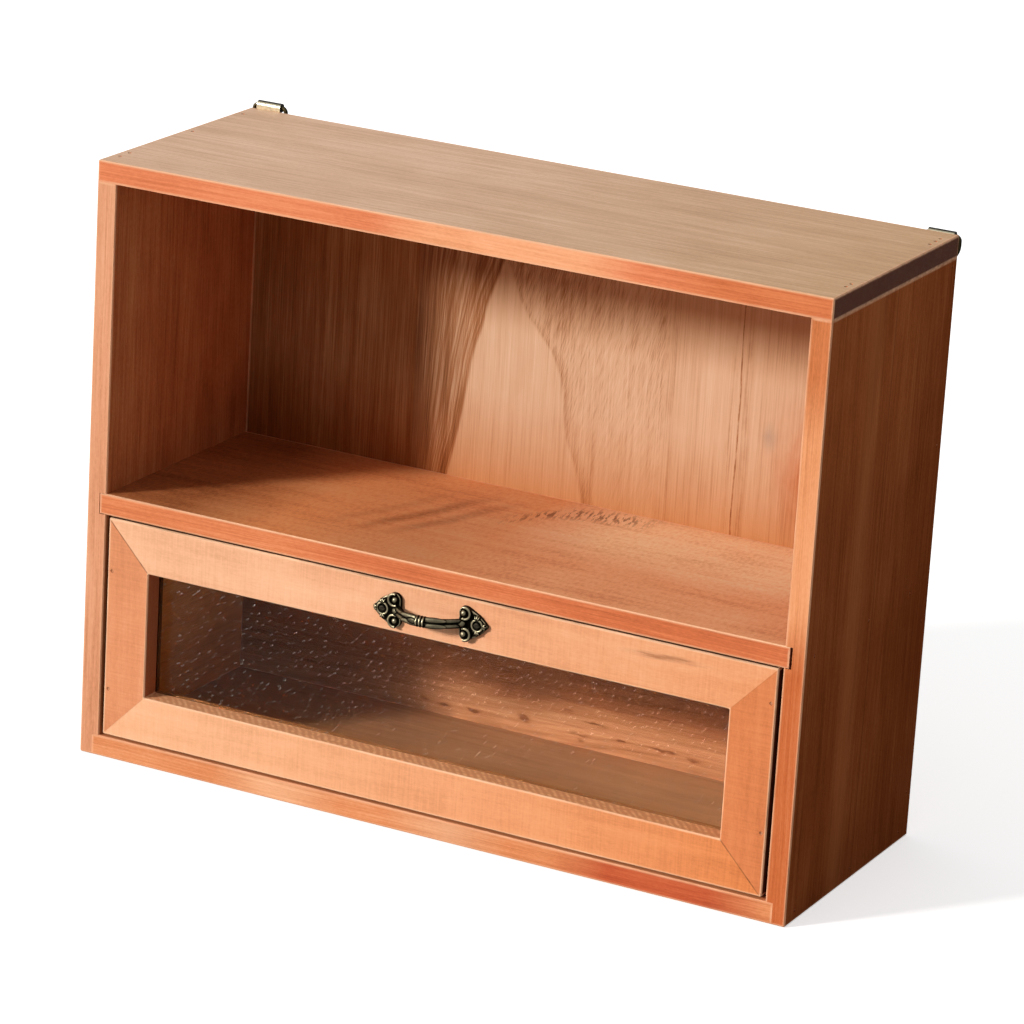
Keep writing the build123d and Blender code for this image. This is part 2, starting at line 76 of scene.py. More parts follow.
def add_node(tree, kind, inputs=None, stops=None, curve=None, **settings):
    """Add a shader node. Inputs are values, outputs to link, or nodes, for their first usable output."""
    node = tree.nodes.new("ShaderNode" + kind)
    for name, value in settings.items():
        setattr(node, name, value)
    for socket, value in (inputs or {}).items():
        if isinstance(value, bpy.types.Node):
            value = next(output for output in value.outputs if output.enabled)
        if isinstance(value, bpy.types.NodeSocket):
            tree.links.new(value, node.inputs[socket])
        else:
            node.inputs[socket].default_value = value
    if stops:
        elements = node.color_ramp.elements
        for element, (place, colour) in zip([elements[0], elements[1]], stops[:2]):
            element.position = place
            element.color = colour
        for place, colour in stops[2:]:
            elements.new(place).color = colour
    if curve:
        points = node.mapping.curves[0].points
        for point, place in zip([points[0], points[1]], (curve[0], curve[-1])):
            point.location = place
        for place in curve[1:-1]:
            points.new(*place)
        node.mapping.update()
    return node


# %% [markdown]
# ## The camera
# The picture was taken from the right of the front and a little above, from far off with a long
# lens, and with the camera rolled slightly. A camera looks along its own -Z, so its matrix is built
# from three directions: right, up and back. The roll turns right and up about the line of sight.

# %% Camera
CAMERA_AZIMUTH = 26.8
CAMERA_ELEVATION = 17.85
CAMERA_ROLL = math.radians(3.42)
CAMERA_DISTANCE = 2422.3
CAMERA_SLIDE = (3.09, 9.64)     # sideways and upwards in the picture plane
LOOK_AT = (0, 1, 140)


def direction_of(azimuth, elevation):
    """A direction by its degrees round from the front, to the right, and its degrees up."""
    around = math.radians(azimuth)
    rise = math.radians(elevation)
    return Vector((math.sin(around) * math.cos(rise), -math.cos(around) * math.cos(rise), math.sin(rise)))


back = direction_of(CAMERA_AZIMUTH, CAMERA_ELEVATION)
right = Vector((0, 0, 1)).cross(back).normalized()
up = back.cross(right)
tilted_right = right * math.cos(CAMERA_ROLL) + up * math.sin(CAMERA_ROLL)
tilted_up = up * math.cos(CAMERA_ROLL) - right * math.sin(CAMERA_ROLL)
place = back * CAMERA_DISTANCE + tilted_right * CAMERA_SLIDE[0] + tilted_up * CAMERA_SLIDE[1]

camera = bpy.data.objects.new("camera", bpy.data.cameras.new("camera"))
camera.data.lens = 169.8
camera.data.sensor_width = 36
camera.data.clip_end = 100
axes = Matrix((tilted_right, tilted_up, back)).transposed().to_4x4()
camera.matrix_world = Matrix.Translation(place * MM + metres(*LOOK_AT)) @ axes
scene.collection.objects.link(camera)
scene.camera = camera
scene.view_settings.view_transform = "Standard"
print("camera at", [round(v, 3) for v in camera.matrix_world.translation])

# %% [markdown]
# ## The key light
# The cabinet stands in low sun from the left of the front: the left side throws a slanting shadow
# over the shelf and the back, and the top board a soft one just below itself. A sun lamp gives the
# same light all over, and its angle sets how soft the edge of a shadow is. With this strength, the
# front shows its colours about as they are written.

# %% Key light
towards_light = direction_of(-39.5, 19.5)
sun = bpy.data.objects.new("low_sun", bpy.data.lights.new("low_sun", "SUN"))
sun.data.energy = 3.3
sun.data.angle = math.radians(9)
sun.data.color = (1.0, 0.97, 0.93)
sun.rotation_euler = towards_light.to_track_quat("Z", "Y").to_euler()
scene.collection.objects.link(sun)
print("share of the light on the front:", round(-towards_light.y, 2), "and top:", round(towards_light.z, 2))

# %% [markdown]
# ## The room
# The room itself is dim towards the horizon and brighter overhead, like a room with a white
# ceiling, so the top gets soft light and the sides in shadow stay dark, as in the picture. The
# camera, reflections and the view through glass get a white backdrop instead. A studio is white
# behind the object and dim on the camera's side, so reflections see it fade towards the front,
# down to the light of the room, whose ceiling is what puts the bright lines on metal.

# %% Room light
HORIZON_LIGHT = 0.04
CEILING_LIGHT = 0.68
DIM_SIDE = 0.10
world = bpy.data.worlds.new("studio")
world.use_nodes = True
scene.world = world
room = world.node_tree
room.nodes.clear()
ray = add_node(room, "LightPath")
mirrored = add_node(room, "Math", {0: ray.outputs["Is Glossy Ray"], 1: ray.outputs["Is Transmission Ray"]},
                    operation="MAXIMUM")
direction = add_node(room, "TexCoord")
way = add_node(room, "SeparateXYZ", {0: direction.outputs["Generated"]})
soft = add_node(room, "MapRange", {"Value": way.outputs["Z"], "To Min": HORIZON_LIGHT,
                                   "To Max": CEILING_LIGHT})
fade = add_node(room, "MapRange", {"Value": way.outputs["Y"], "From Min": -0.4, "From Max": 0.1,
                                   "To Min": DIM_SIDE, "To Max": 1.0})
brighter = add_node(room, "Math", {0: soft, 1: fade}, operation="MAXIMUM")
seen_in_gloss = add_node(room, "Mix", {0: mirrored, 2: soft, 3: brighter})
strength = add_node(room, "Mix", {0: ray.outputs["Is Camera Ray"], 2: seen_in_gloss, 3: 1.0})
backdrop = add_node(room, "Background", {"Color": (1, 1, 1, 1), "Strength": strength})
add_node(room, "OutputWorld", {"Surface": backdrop})
print("room light from", HORIZON_LIGHT, "at the horizon to", CEILING_LIGHT, "overhead")

# %% [markdown]
# ## The floor
# A plain white sheet, large enough to fill the picture. A sheet that is only lit looks grey beside
# a white backdrop, so to the camera and through glass it also glows a little, which brings the lit
# part to white and leaves the cabinet's shadow as a pale grey. Gloss sees a fainter glow.

# %% Floor sheet
FLOOR_SIZE = 9000
sheet = bmesh.new()
bmesh.ops.create_grid(sheet, x_segments=1, y_segments=1, size=FLOOR_SIZE / 2 * MM)
bmesh.ops.translate(sheet, verts=sheet.verts, vec=metres(0, 2500, -0.3))
floor_mesh = bpy.data.meshes.new("floor")
sheet.to_mesh(floor_mesh)
sheet.free()
floor = bpy.data.objects.new("floor", floor_mesh)
scene.collection.objects.link(floor)
print("floor:", FLOOR_SIZE / 1000, "m square")

# %% Backdrop paper
FLOOR_GLOW = 0.50
GLOW_IN_GLOSS = 0.06
paper = bpy.data.materials.new("white backdrop paper")
paper.use_nodes = True
tree = paper.node_tree
tree.nodes.clear()
ray = add_node(tree, "LightPath")
shown = add_node(tree, "Math", {0: ray.outputs["Is Camera Ray"], 1: ray.outputs["Is Transmission Ray"]},
                 operation="MAXIMUM")
in_gloss = add_node(tree, "Math", {0: ray.outputs["Is Glossy Ray"], 1: GLOW_IN_GLOSS}, operation="MULTIPLY")
glow = add_node(tree, "Math", {0: shown, 1: FLOOR_GLOW, 2: in_gloss}, operation="MULTIPLY_ADD")
white = add_node(tree, "Mix", {0: shown, 6: hex_colour("#b4b4b4"), 7: hex_colour("#ffffff")},
                 data_type="RGBA")
matt = add_node(tree, "BsdfDiffuse", {"Color": white})
glowing = add_node(tree, "Emission", {"Color": (1, 1, 1, 1), "Strength": glow})
both = add_node(tree, "AddShader", {0: matt, 1: glowing})
add_node(tree, "OutputMaterial", {"Surface": both})
floor_mesh.materials.append(paper)
print("floor glow:", FLOOR_GLOW, "and in gloss:", GLOW_IN_GLOSS)

# %% [markdown]
# ## What stained wood is made of
# Each board is softwood, planed, wiped with a reddish stain and sprayed with satin lacquer. Its
# pattern is growth rings round a centre line that lay somewhere outside the board, so the same
# solid pattern gives straight lines, arches or end rings, as the board cuts through it. Along the
# rings run fine fibres, and the stain has soaked in unevenly. Each of these is a small function, so
# that every board can have its own mix. All of them work in millimetres, with X along the fibre.

# %% Board coordinates
FIBRE_TURN = {"X": (0, 0, 0), "Y": (0, 0, math.pi / 2), "Z": (0, -math.pi / 2, 0)}
WAVE_RADIANS = 20               # how many radians the wave texture puts in one unit


def board_space(tree, grain, centre):
    """Object coordinates in millimetres from a board's middle, turned so that X follows the fibre."""
    here = add_node(tree, "TexCoord")
    return add_node(tree, "Mapping", {"Vector": here.outputs["Object"], "Location": metres(*centre),
                                      "Rotation": FIBRE_TURN[grain], "Scale": (MM, MM, MM)},
                    vector_type="TEXTURE")


def seed_shift(seed):
    """A far-off part of a pattern for each seed, so that no two boards look alike."""
    return (seed * 7.31, seed * 3.17, seed * 5.53)


def bent(tree, space, size, amount, seed):
    """Shift coordinates gently to and fro, mostly across the fibre, so that no line stays straight."""
    long = add_node(tree, "Mapping", {"Vector": space, "Location": seed_shift(seed),
                                      "Scale": (0.25 / size, 1 / size, 1 / size)})
    waves = add_node(tree, "TexNoise", {"Vector": long, "Scale": 1.0, "Detail": 2.0})
    centred = add_node(tree, "VectorMath", {0: waves.outputs["Color"], 1: (0.5, 0.5, 0.5)},
                       operation="SUBTRACT")
    return add_node(tree, "VectorMath", {0: centred, 1: (amount, amount, amount), 2: space},
                    operation="MULTIPLY_ADD")


def wave_scale(spacing):
    """Scale of a wave texture whose lines lie this far apart, in mm."""
    return 2 * math.pi / WAVE_RADIANS / spacing


# %% Rings and uneven stain
def growth_rings(tree, space, heart, spacing):
    """0 to 1 across each year's growth, round a heart that lies off the board and leans a little."""
    lean = math.radians(1.5)
    around = add_node(tree, "Mapping", {"Vector": space, "Location": (0, -heart[0], -heart[1]),
                                        "Rotation": (0, lean, -lean)})
    rings = add_node(tree, "TexWave", {"Vector": around, "Scale": wave_scale(spacing), "Distortion": 0.0},
                     wave_type="RINGS", rings_direction="X", wave_profile="SAW")
    return add_node(tree, "ValToRGB", {0: rings.outputs["Fac"]},
                    stops=[(0.0, (0.35, 0.35, 0.35, 1)), (1.0, (0.45, 0.45, 0.45, 1)),
                           (0.12, (0.0, 0.0, 0.0, 1)), (0.5, (0.3, 0.3, 0.3, 1)), (0.88, (1, 1, 1, 1))])


def uneven(tree, space, length, width, seed, spread=0.2, least=0.0):
    """Streaks or patches of about this length along the fibre and width across it, least to 1."""
    stretched = add_node(tree, "Mapping", {"Vector": space, "Location": seed_shift(seed),
                                           "Scale": (1 / length, 1 / width, 1 / width)})
    noise = add_node(tree, "TexNoise", {"Vector": stretched, "Scale": 1.0, "Detail": 5.0, "Roughness": 0.62})
    return add_node(tree, "MapRange", {"Value": noise, "From Min": 0.5 - spread, "From Max": 0.5 + spread,
                                       "To Min": least})


def turned(tree, space):
    """The same coordinates with along and across exchanged, for marks across the fibre."""
    split = add_node(tree, "SeparateXYZ", {0: space})
    return add_node(tree, "CombineXYZ", {0: split.outputs["Z"], 1: split.outputs["Y"],
                                         2: split.outputs["X"]})


# %% [markdown]
# ## Laying one thing over another
# A mask is 1 where something happens and 0 elsewhere, and masks that are multiplied hold only where
# all of them do. A pattern swings a tone up and down, and a coat of stain covers or tints the
# colour under it. The finishes do this all the time, so four functions each take a whole list.

# %% Masks, tones and coats together
def overlap(tree, *masks):
    """Where all of these masks hold. A plain number among them weakens the rest."""
    both, *others = masks
    for mask in others:
        both = add_node(tree, "Math", {0: both, 1: mask}, operation="MULTIPLY")
    return both


def darkened(tree, tone, *masks):
    """Raise a tone by the last of the masks, where the others hold."""
    *others, amount = masks
    return add_node(tree, "Math", {0: overlap(tree, *others), 1: amount, 2: tone}, operation="MULTIPLY_ADD")


def blended(tree, shares, middle=0.5):
    """Sum of patterns, each swinging by its share, round a middle tone."""
    spare = sum(share for pattern, share in shares) / 2
    total = add_node(tree, "Math", {0: middle, 1: spare}, operation="SUBTRACT")
    for pattern, share in shares:
        total = darkened(tree, total, pattern, share)
    return total


def coated(tree, colour, *coats, blend="MIX"):
    """Lay coats over a colour. A coat is its colour and its masks. MULTIPLY tints what is under it."""
    for coat, *masks in coats:
        if isinstance(coat, str):
            coat = hex_colour(coat)
        colour = add_node(tree, "Mix", {0: overlap(tree, *masks), 6: colour, 7: coat}, data_type="RGBA",
                          blend_type=blend)
    return colour


# %% [markdown]
# ## Where on a board something happens
# A board's faces take the stain differently. Its ends drink it and turn dark, and its sharp edges
# were rubbed pale by sanding, a pale line that is also a painted highlight where an edge catches
# the light. The way a face points tells which is which, and the distance from the sides of the
# board's box tells where its edges are. Knots, seams and faded ends have a place of their own
# instead, so masks for a stretch, a slope and a spot are made here too.

# %% Masks from the way a face points
PALE_EDGE_WIDTH = 0.8                 # how wide the pale line along an edge is, in mm


def facing(tree, axis):
    """1 on faces that look along this axis, either way."""
    here = add_node(tree, "TexCoord")
    way = add_node(tree, "SeparateXYZ", {0: here.outputs["Normal"]})
    size = add_node(tree, "Math", {0: way.outputs[axis]}, operation="ABSOLUTE")
    return add_node(tree, "MapRange", {"Value": size, "From Min": 0.85, "From Max": 0.95})


def edge_wear_and_highlight(tree, space, piece):
    """1 along a piece's edges, where they show wear and a painted highlight, patchy along their length."""
    low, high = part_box(piece)
    here = board_space(tree, "X", (low + high) / 2 / MM)
    half_size = (high - low) / 2 / MM
    reach = add_node(tree, "VectorMath", {0: here}, operation="ABSOLUTE")
    inside = add_node(tree, "VectorMath", {0: half_size, 1: reach}, operation="SUBTRACT")
    off = add_node(tree, "SeparateXYZ", {0: inside})
    # On a face one of the three distances is 0, so the middle one is how far off an edge is.
    lower = add_node(tree, "Math", {0: off.outputs["X"], 1: off.outputs["Y"]}, operation="MINIMUM")
    upper = add_node(tree, "Math", {0: off.outputs["X"], 1: off.outputs["Y"]}, operation="MAXIMUM")
    upper = add_node(tree, "Math", {0: upper, 1: off.outputs["Z"]}, operation="MINIMUM")
    to_edge = add_node(tree, "Math", {0: lower, 1: upper}, operation="MAXIMUM")
    near = add_node(tree, "MapRange", {"Value": to_edge, "From Min": PALE_EDGE_WIDTH + 0.5,
                                       "From Max": PALE_EDGE_WIDTH - 0.3})
    return overlap(tree, near, uneven(tree, space, 22, 4, 4, least=0.35))


# %% Masks from the place on a board
FAR = 400                       # past the end of every board, in mm


def slope(tree, space, axis, start, end):
    """0 before one place along an axis, 1 past the other, even between."""
    split = add_node(tree, "SeparateXYZ", {0: space})
    return add_node(tree, "MapRange", {"Value": split.outputs[axis], "From Min": start, "From Max": end})


def between(tree, value, low, high, blur):
    """1 where a value lies between two limits, with blurred edges."""
    rise = add_node(tree, "MapRange", {"Value": value, "From Min": low - blur, "From Max": low + blur})
    fall = add_node(tree, "MapRange", {"Value": value, "From Min": high + blur, "From Max": high - blur})
    return overlap(tree, rise, fall)


def spot(tree, space, centre, half_sizes, lean=0.0):
    """1 in the middle of an egg-shaped spot, 0 outside it. Lean turns it about Y, in degrees."""
    inside = add_node(tree, "Mapping", {"Vector": space, "Location": centre, "Scale": half_sizes,
                                        "Rotation": (0, math.radians(lean), 0)}, vector_type="TEXTURE")
    reach = add_node(tree, "VectorMath", {0: inside}, operation="LENGTH")
    return add_node(tree, "MapRange", {"Value": reach, "From Min": 1.0, "From Max": 0.0},
                    interpolation_type="SMOOTHSTEP")


# %% [markdown]
# ## Satin lacquer
# The lacquer is thin: it follows the fibres, so the surface has a fine relief, and it shines softly.
# Clear lacquer bends light like most plastics, at an index near 1.5. In the picture the boards in
# shade carry no grey shine at all, so the specular level is low, and lowest on the side boards.

# %% Lacquered surface
LACQUER_ROUGHNESS = 0.48
RELIEF_DEPTH = 0.06             # in mm


def lacquered(tree, colour, relief, gloss):
    """A lacquered wood surface. Relief is 0 to 1."""
    bump = add_node(tree, "Bump", {"Height": relief, "Strength": 0.7, "Distance": RELIEF_DEPTH * MM})
    rough = add_node(tree, "MapRange", {"Value": relief, "To Min": LACQUER_ROUGHNESS - 0.07,
                                        "To Max": LACQUER_ROUGHNESS + 0.07})
    surface = add_node(tree, "BsdfPrincipled", {"Base Color": colour, "Roughness": rough, "IOR": 1.5,
                                                "Specular IOR Level": gloss, "Normal": bump})
    add_node(tree, "OutputMaterial", {"Surface": surface})


def new_finish(name):
    """An empty material and its node tree."""
    finish = bpy.data.materials.new(name)
    finish.use_nodes = True
    finish.node_tree.nodes.clear()
    return finish, finish.node_tree


def dress(finish, names):
    """Give a finish to pieces of the model."""
    for name in names:
        for slot in pieces[name].material_slots:
            slot.material = finish
    print(finish.name, "on", len(names), "pieces")


# %% [markdown]
# ## One recipe for the plain boards
# The recipe bends the board's coordinates, lays rings, fibres, streaks and blotches over each other,
# and reads the sum off a palette of pale, middle and dark. The shares say how far each pattern
# swings the tone, so they are small on these quiet boards. A frame saw left faint lines across the
# fibre of the drawer's front. A board can fade to a second palette, and its edges can have their
# own, because an edge shows another cut of the wood than a face.

# %% Tone and colour of a board
QUIET = {"rings": 0.08, "fibres": 0.40, "streaks": 0.20, "blotches": 0.26, "pores": 0.20}
SAWN = {"rings": 0.03, "fibres": 0.06, "streaks": 0.22, "blotches": 0.32, "saw": 0.22, "pores": 0.18}


def board_tone(tree, space, heart, seed, shares, wave=7):
    """Mix of patterns, 0 where pale and 1 where dark. Wave is how far the fibre wanders, in mm."""
    curved = bent(tree, space, 60, wave, seed)
    # Real pores are 0.1 mm wide. They are drawn at 0.8 mm, so that they show in the picture.
    patterns = {
        "rings": lambda: growth_rings(tree, curved, heart, 3.0),
        "fibres": lambda: uneven(tree, curved, 70, 0.8, seed),
        "streaks": lambda: uneven(tree, curved, 260, 6, seed + 3),
        "blotches": lambda: uneven(tree, space, 60, 34, seed + 5),
        "saw": lambda: uneven(tree, turned(tree, space), 24, 1.1, seed + 6),
        "pores": lambda: uneven(tree, space, 2.4, 0.8, seed + 7),
        "speckle": lambda: uneven(tree, space, 2.0, 3.4, seed + 8, 0.14),
    }
    return blended(tree, [(patterns[name](), share) for name, share in shares.items()])


def stained(tree, tone, palette, regions=()):
    """Read a tone off a palette of pale, middle and dark, and where a region's mask holds, off its own."""
    colour = None
    for other, mask in ((palette, None), *regions):
        pale, middle, dark = [hex_colour(code) for code in other]
        coat = add_node(tree, "ValToRGB", {0: tone}, stops=[(0.1, pale), (0.95, dark), (0.5, middle)])
        colour = coated(tree, colour, (coat, mask)) if colour else coat
    return colour


# %% Board recipe
def finish_board(tree, space, colour, piece, grain, seed, wear_and_highlight, gloss, end="#8a5a44"):
    """Darken a board's ends, pale its edges with wear and a painted highlight, and lacquer it."""
    open_grain = uneven(tree, space, 2, 2.4, seed + 10, least=0.96)
    colour = coated(tree, colour, (end, facing(tree, grain), open_grain), blend="MULTIPLY")
    # The pale line along the edges is partly wear and partly a painted highlight where edges catch the light.
    if wear_and_highlight:
        colour = coated(tree, colour, (wear_and_highlight, edge_wear_and_highlight(tree, space, piece)))
    lacquered(tree, colour, uneven(tree, space, 30, 0.7, seed + 9), gloss)


def stained_board(name, names, grain, centre, heart, palette, seed, shares=QUIET, fade=None, edge=None,
                  stretches=(), touch=None, wear_and_highlight="#f0b48c", gloss=0.15, wave=7, end="#8a5a44"):
    """Stain pieces like one board. Fade is axis, start, stop, palette. Edge is for faces along Y.

    Stretches are parts of that edge with a palette of their own: low, high, palette.
    """
    finish, tree = new_finish(name)
    space = board_space(tree, grain, centre)
    tone = board_tone(tree, space, heart, seed, shares, wave)
    faded = []
    if fade:
        axis, start, stop, far_palette = fade
        faded = [(far_palette, slope(tree, space, axis, start, stop))]
    colour = stained(tree, tone, palette, faded)
    if edge:
        # The edges were planed once more, so they are smoother than the faces.
        tone = board_tone(tree, space, heart, seed + 20, QUIET, wave)
        along = add_node(tree, "SeparateXYZ", {0: bent(tree, space, 20, 18, seed)}).outputs["X"]
        parts = [(other, between(tree, along, low, high, 16)) for low, high, other in stretches]
        colour = coated(tree, colour, (stained(tree, tone, edge, parts), facing(tree, "Y")))
    if touch:
        colour = touch(tree, space, colour)
    finish_board(tree, space, colour, names[0], grain, seed, wear_and_highlight, gloss, end)
    dress(finish, names)


# %% [markdown]
# ## The case boards
# The top is the palest board, a pinkish tan that is partly a painted sheen, and it turns browner to
# the right, a painted fall-off of the light from the left. The front edges of the boards are more
# orange than their faces, with a few paler or redder stretches, so those have their own palettes.
# The side boards are the darkest, and darker still towards the rear, with one lighter band where a
# strip of another tree was glued in.

# %% Top and bottom boards
TOP_PALE = ("#f2ceb2", "#dcb292", "#ba906e")
TOP_RIGHT_LESS_LIT = ("#e0ba96", "#caa078", "#a87e5a")
stained_board("stained softwood top", ["top_board"], "X", (0, 0, 307.5), (12, -70), TOP_PALE, 1,
              fade=("X", -60, 190, TOP_RIGHT_LESS_LIT), edge=("#f4a072", "#e4855a", "#c66a42"),
              stretches=[(-30, 85, ("#fcbc92", "#f4a87a", "#d48556")),
                         (125, 215, ("#e88e5c", "#d87a4c", "#b65c34"))],
              gloss=0.06, end="#703f18")
stained_board("stained softwood bottom", ["bottom_board"], "X", (0, 0, 5.5), (10, 70),
              ("#f0a474", "#e08a58", "#b4603a"), 5, edge=("#f0aa7c", "#de8c5a", "#b4623a"),
              stretches=[(-105, -62, ("#fac49a", "#ecac80", "#cc865c")),
                         (-2, 34, ("#f4bc92", "#e2a278", "#bc7850")),
                         (89, 175, ("#d46e44", "#c05834", "#9a4226"))])


# %% Side boards
def side_bands(tree, space, colour):
    """Lighter band near the front, darker wood to the rear, and a fine glue seam."""
    wavy = bent(tree, space, 90, 6, 2)
    depth = add_node(tree, "SeparateXYZ", {0: wavy}).outputs["Y"]
    broad = facing(tree, "X")
    colour = coated(tree, colour, ("#e2d6ce", slope(tree, wavy, "Y", 15, 70), 0.7, broad), blend="MULTIPLY")
    return coated(tree, colour, ("#cc7e4c", between(tree, depth, -27, -11, 5), 0.3, broad),
                  ("#4e2410", between(tree, depth, 2.6, 3.2, 0.3), 0.5, broad))


stained_board("stained softwood left side", ["left_side_board"], "Z", (-194.5, 0, 151), (20, 60),
              ("#d49866", "#ba7348", "#884d28"), 2, edge=("#eeb08c", "#e09c76", "#bc7a54"), gloss=0.0)
stained_board("stained softwood right side", ["right_side_board"], "Z", (194.5, 0, 151), (-30, -60),
              ("#ae653a", "#944c26", "#6a3012"), 4, fade=("X", -30, 90, ("#c47646", "#aa5b30", "#7c3a18")),
              edge=("#f4ae80", "#e99c6b", "#c87c4e"), touch=side_bands, gloss=0.0,
              stretches=[(-200, -8, ("#d88052", "#ca6c3e", "#a6522c")),
                         (105, 200, ("#e08c5c", "#d47e4e", "#b06238"))])

# %% [markdown]
# ## The shelf's figure
# The shelf is rougher than the other boards and pales to the right and rear, a painted sheen. Its
# left end, where the left side's shadow falls, takes a darker palette, a painted shadow. Left of its
# middle two dark streaks run slantwise to the back, where a branch once pushed the fibre aside, and
# beside them the plane tore the fibre into short flecks. A curve gives each line's place, and the
# distance from the curve makes the mask.

# %% Lines drawn by a curve
CURVE_REACH = 200               # the curves run this far to both sides, in mm
SHELF_STREAK = ((-74, -66), (-27, -54), (-3, -43), (26, -34), (63, -20))
SHELF_TEAR = ((-60, -36), (-5, 19), (12, 42), (42, 51), (80, 56))


def line_place(tree, value, line):
    """Where a line lies across, at a place along it."""
    share = add_node(tree, "MapRange", {"Value": value, "From Min": -CURVE_REACH, "From Max": CURVE_REACH})
    ends = ((-CURVE_REACH, line[0][1]), *line, (CURVE_REACH, line[-1][1]))
    points = [tuple((v + CURVE_REACH) / CURVE_REACH / 2 for v in point) for point in ends]
    read = add_node(tree, "FloatCurve", {"Value": share}, curve=points)
    return add_node(tree, "MapRange", {"Value": read, "To Min": -CURVE_REACH, "To Max": CURVE_REACH})


# %% Shelf
def shelf_figure(tree, space, colour):
    """Two dark streaks and a patch of torn fibre."""
    split = add_node(tree, "SeparateXYZ", {0: bent(tree, space, 14, 5, 8)})
    x, y = split.outputs["X"], split.outputs["Y"]
    off_streak = add_node(tree, "Math", {0: x, 1: line_place(tree, y, SHELF_STREAK)}, operation="SUBTRACT")
    smear = uneven(tree, turned(tree, space), 30, 3, 41, least=0.35)
    length = between(tree, y, -34, 34, 14)
    for low, high, share in ((-4, 1, 0.95), (12, 16, 0.8), (-20, -17, 0.45)):
        line = between(tree, off_streak, low, high, 4)
        colour = coated(tree, colour, ("#7c3c1c", line, length, smear, share))
    off_tear = add_node(tree, "Math", {0: y, 1: line_place(tree, x, SHELF_TEAR)}, operation="SUBTRACT")
    torn = overlap(tree, between(tree, off_tear, -8, 8, 6), between(tree, x, -6, 52, 10))
    slanted = add_node(tree, "Mapping", {"Vector": space, "Rotation": (0, 0, math.radians(-100))})
    flecks = uneven(tree, slanted, 9, 1.6, 42, 0.1)
    for low, high, code in ((0.52, 0.75, "#6a3016"), (0.45, 0.2, "#f8cca2")):
        fleck = add_node(tree, "MapRange", {"Value": flecks, "From Min": low, "From Max": high,
                                            "To Max": 0.75})
        colour = coated(tree, colour, (code, fleck, torn))
    # The top face is palest at the right and rear, a painted sheen, and browner round the streaks.
    right_half = slope(tree, space, "X", 0, 50)
    tint = coated(tree, hex_colour("#f4c4a2"), ("#f3d4c5", right_half),
                  ("#ffffff", right_half, slope(tree, space, "Y", -25, 15)))
    tinted = coated(tree, colour, (tint, 1.0), ("#e9effd", between(tree, x, -60, 20, 30)), blend="MULTIPLY")
    return coated(tree, colour, (tinted, facing(tree, "Z")))


ROUGH = {"rings": 0.06, "fibres": 0.16, "streaks": 0.30, "blotches": 0.36, "speckle": 0.34, "pores": 0.20}
# The darker palette at the shelf's left end is a painted shadow of the left side board.
SHELF_SHADOW_PALETTE = ("#c69b76", "#a97e5a", "#7c5135")
SHELF_PALE = ("#ffe0b8", "#fbc99b", "#dea074")
stained_board("stained softwood shelf", ["shelf_board"], "X", (0, 0, 135.5), (-20, -55), SHELF_SHADOW_PALETTE, 4,
              shares=ROUGH, fade=("X", -150, -100, SHELF_PALE), edge=("#f09c6c", "#de8050", "#ba6036"),
              stretches=[(-70, 215, ("#ea9060", "#d47244", "#ae5630"))], touch=shelf_figure, gloss=0.2)

# %% [markdown]
# ## The back, glued up from strips
# The back is five strips side by side. The widest was cut through the outer rings of its tree, so
# they cross it as a tall pale arch. Two curves say where the arch's flanks lie at each height. On
# its left a bundle of dark and pale lines fans out upwards, so each line keeps its share of the way
# from the strip's seam to the flank. On its right the wood is full of short slanting flecks instead.

# %% Flanks of the arch
ARCH_LEFT = ((11, -85), (143, -68), (174, -61), (191, -58), (207, -56), (225, -52), (242, -48), (258, -42),
             (300, -25))
ARCH_RIGHT = ((11, 22), (150, 9), (176, 0), (201, -4), (211, -8), (224, -18), (240, -30), (250, -34),
              (259, -38), (300, -50))
MID_HEIGHT = 150                # heights on the back are counted from here, to stay on the curves

back_finish, tree = new_finish("stained glued-up back")
space = board_space(tree, "Z", (0, 68.5, 0))
wavy = bent(tree, space, 16, 4.5, 6)
split = add_node(tree, "SeparateXYZ", {0: wavy})
height = add_node(tree, "Math", {0: split.outputs["X"], 1: MID_HEIGHT}, operation="SUBTRACT")
x = add_node(tree, "Math", {0: split.outputs["Z"], 1: -1.0}, operation="MULTIPLY")
left_line = line_place(tree, height, [(z - MID_HEIGHT, place) for z, place in ARCH_LEFT])
right_line = line_place(tree, height, [(z - MID_HEIGHT, place) for z, place in ARCH_RIGHT])
off_left = add_node(tree, "Math", {0: left_line, 1: x}, operation="SUBTRACT")
off_right = add_node(tree, "Math", {0: x, 1: right_line}, operation="SUBTRACT")
print("arch is", ARCH_RIGHT[1][1] - ARCH_LEFT[1][1], "mm wide at the shelf")

# %% Patterns of the back
BUNDLE_SEAM = -90
FAN_WIDTH = 32                  # the width in mm that the bundle's lines are spaced for
fan_width = add_node(tree, "Math", {0: left_line, 1: BUNDLE_SEAM}, operation="SUBTRACT")
fan_share = add_node(tree, "Math", {0: off_left, 1: fan_width}, operation="DIVIDE")
fan = add_node(tree, "Math", {0: fan_share, 1: FAN_WIDTH}, operation="MULTIPLY")
along = add_node(tree, "SeparateXYZ", {0: space}).outputs["X"]
fan_space = add_node(tree, "CombineXYZ", {0: along, 1: 0.0, 2: fan})
fan_lines = uneven(tree, fan_space, 60, 0.8, 21, 0.22)
hair = uneven(tree, space, 45, 0.7, 22)
wide = uneven(tree, space, 220, 5, 25)
soft = uneven(tree, space, 60, 30, 23)
# The flecks lean 14 degrees to the right, and are 10 mm long.
leaning = add_node(tree, "Mapping", {"Vector": space, "Rotation": (0, math.radians(-14), 0)})
flecks = uneven(tree, leaning, 10, 0.7, 24, 0.18)
print("lines in the bundle are spaced for", FAN_WIDTH, "mm")

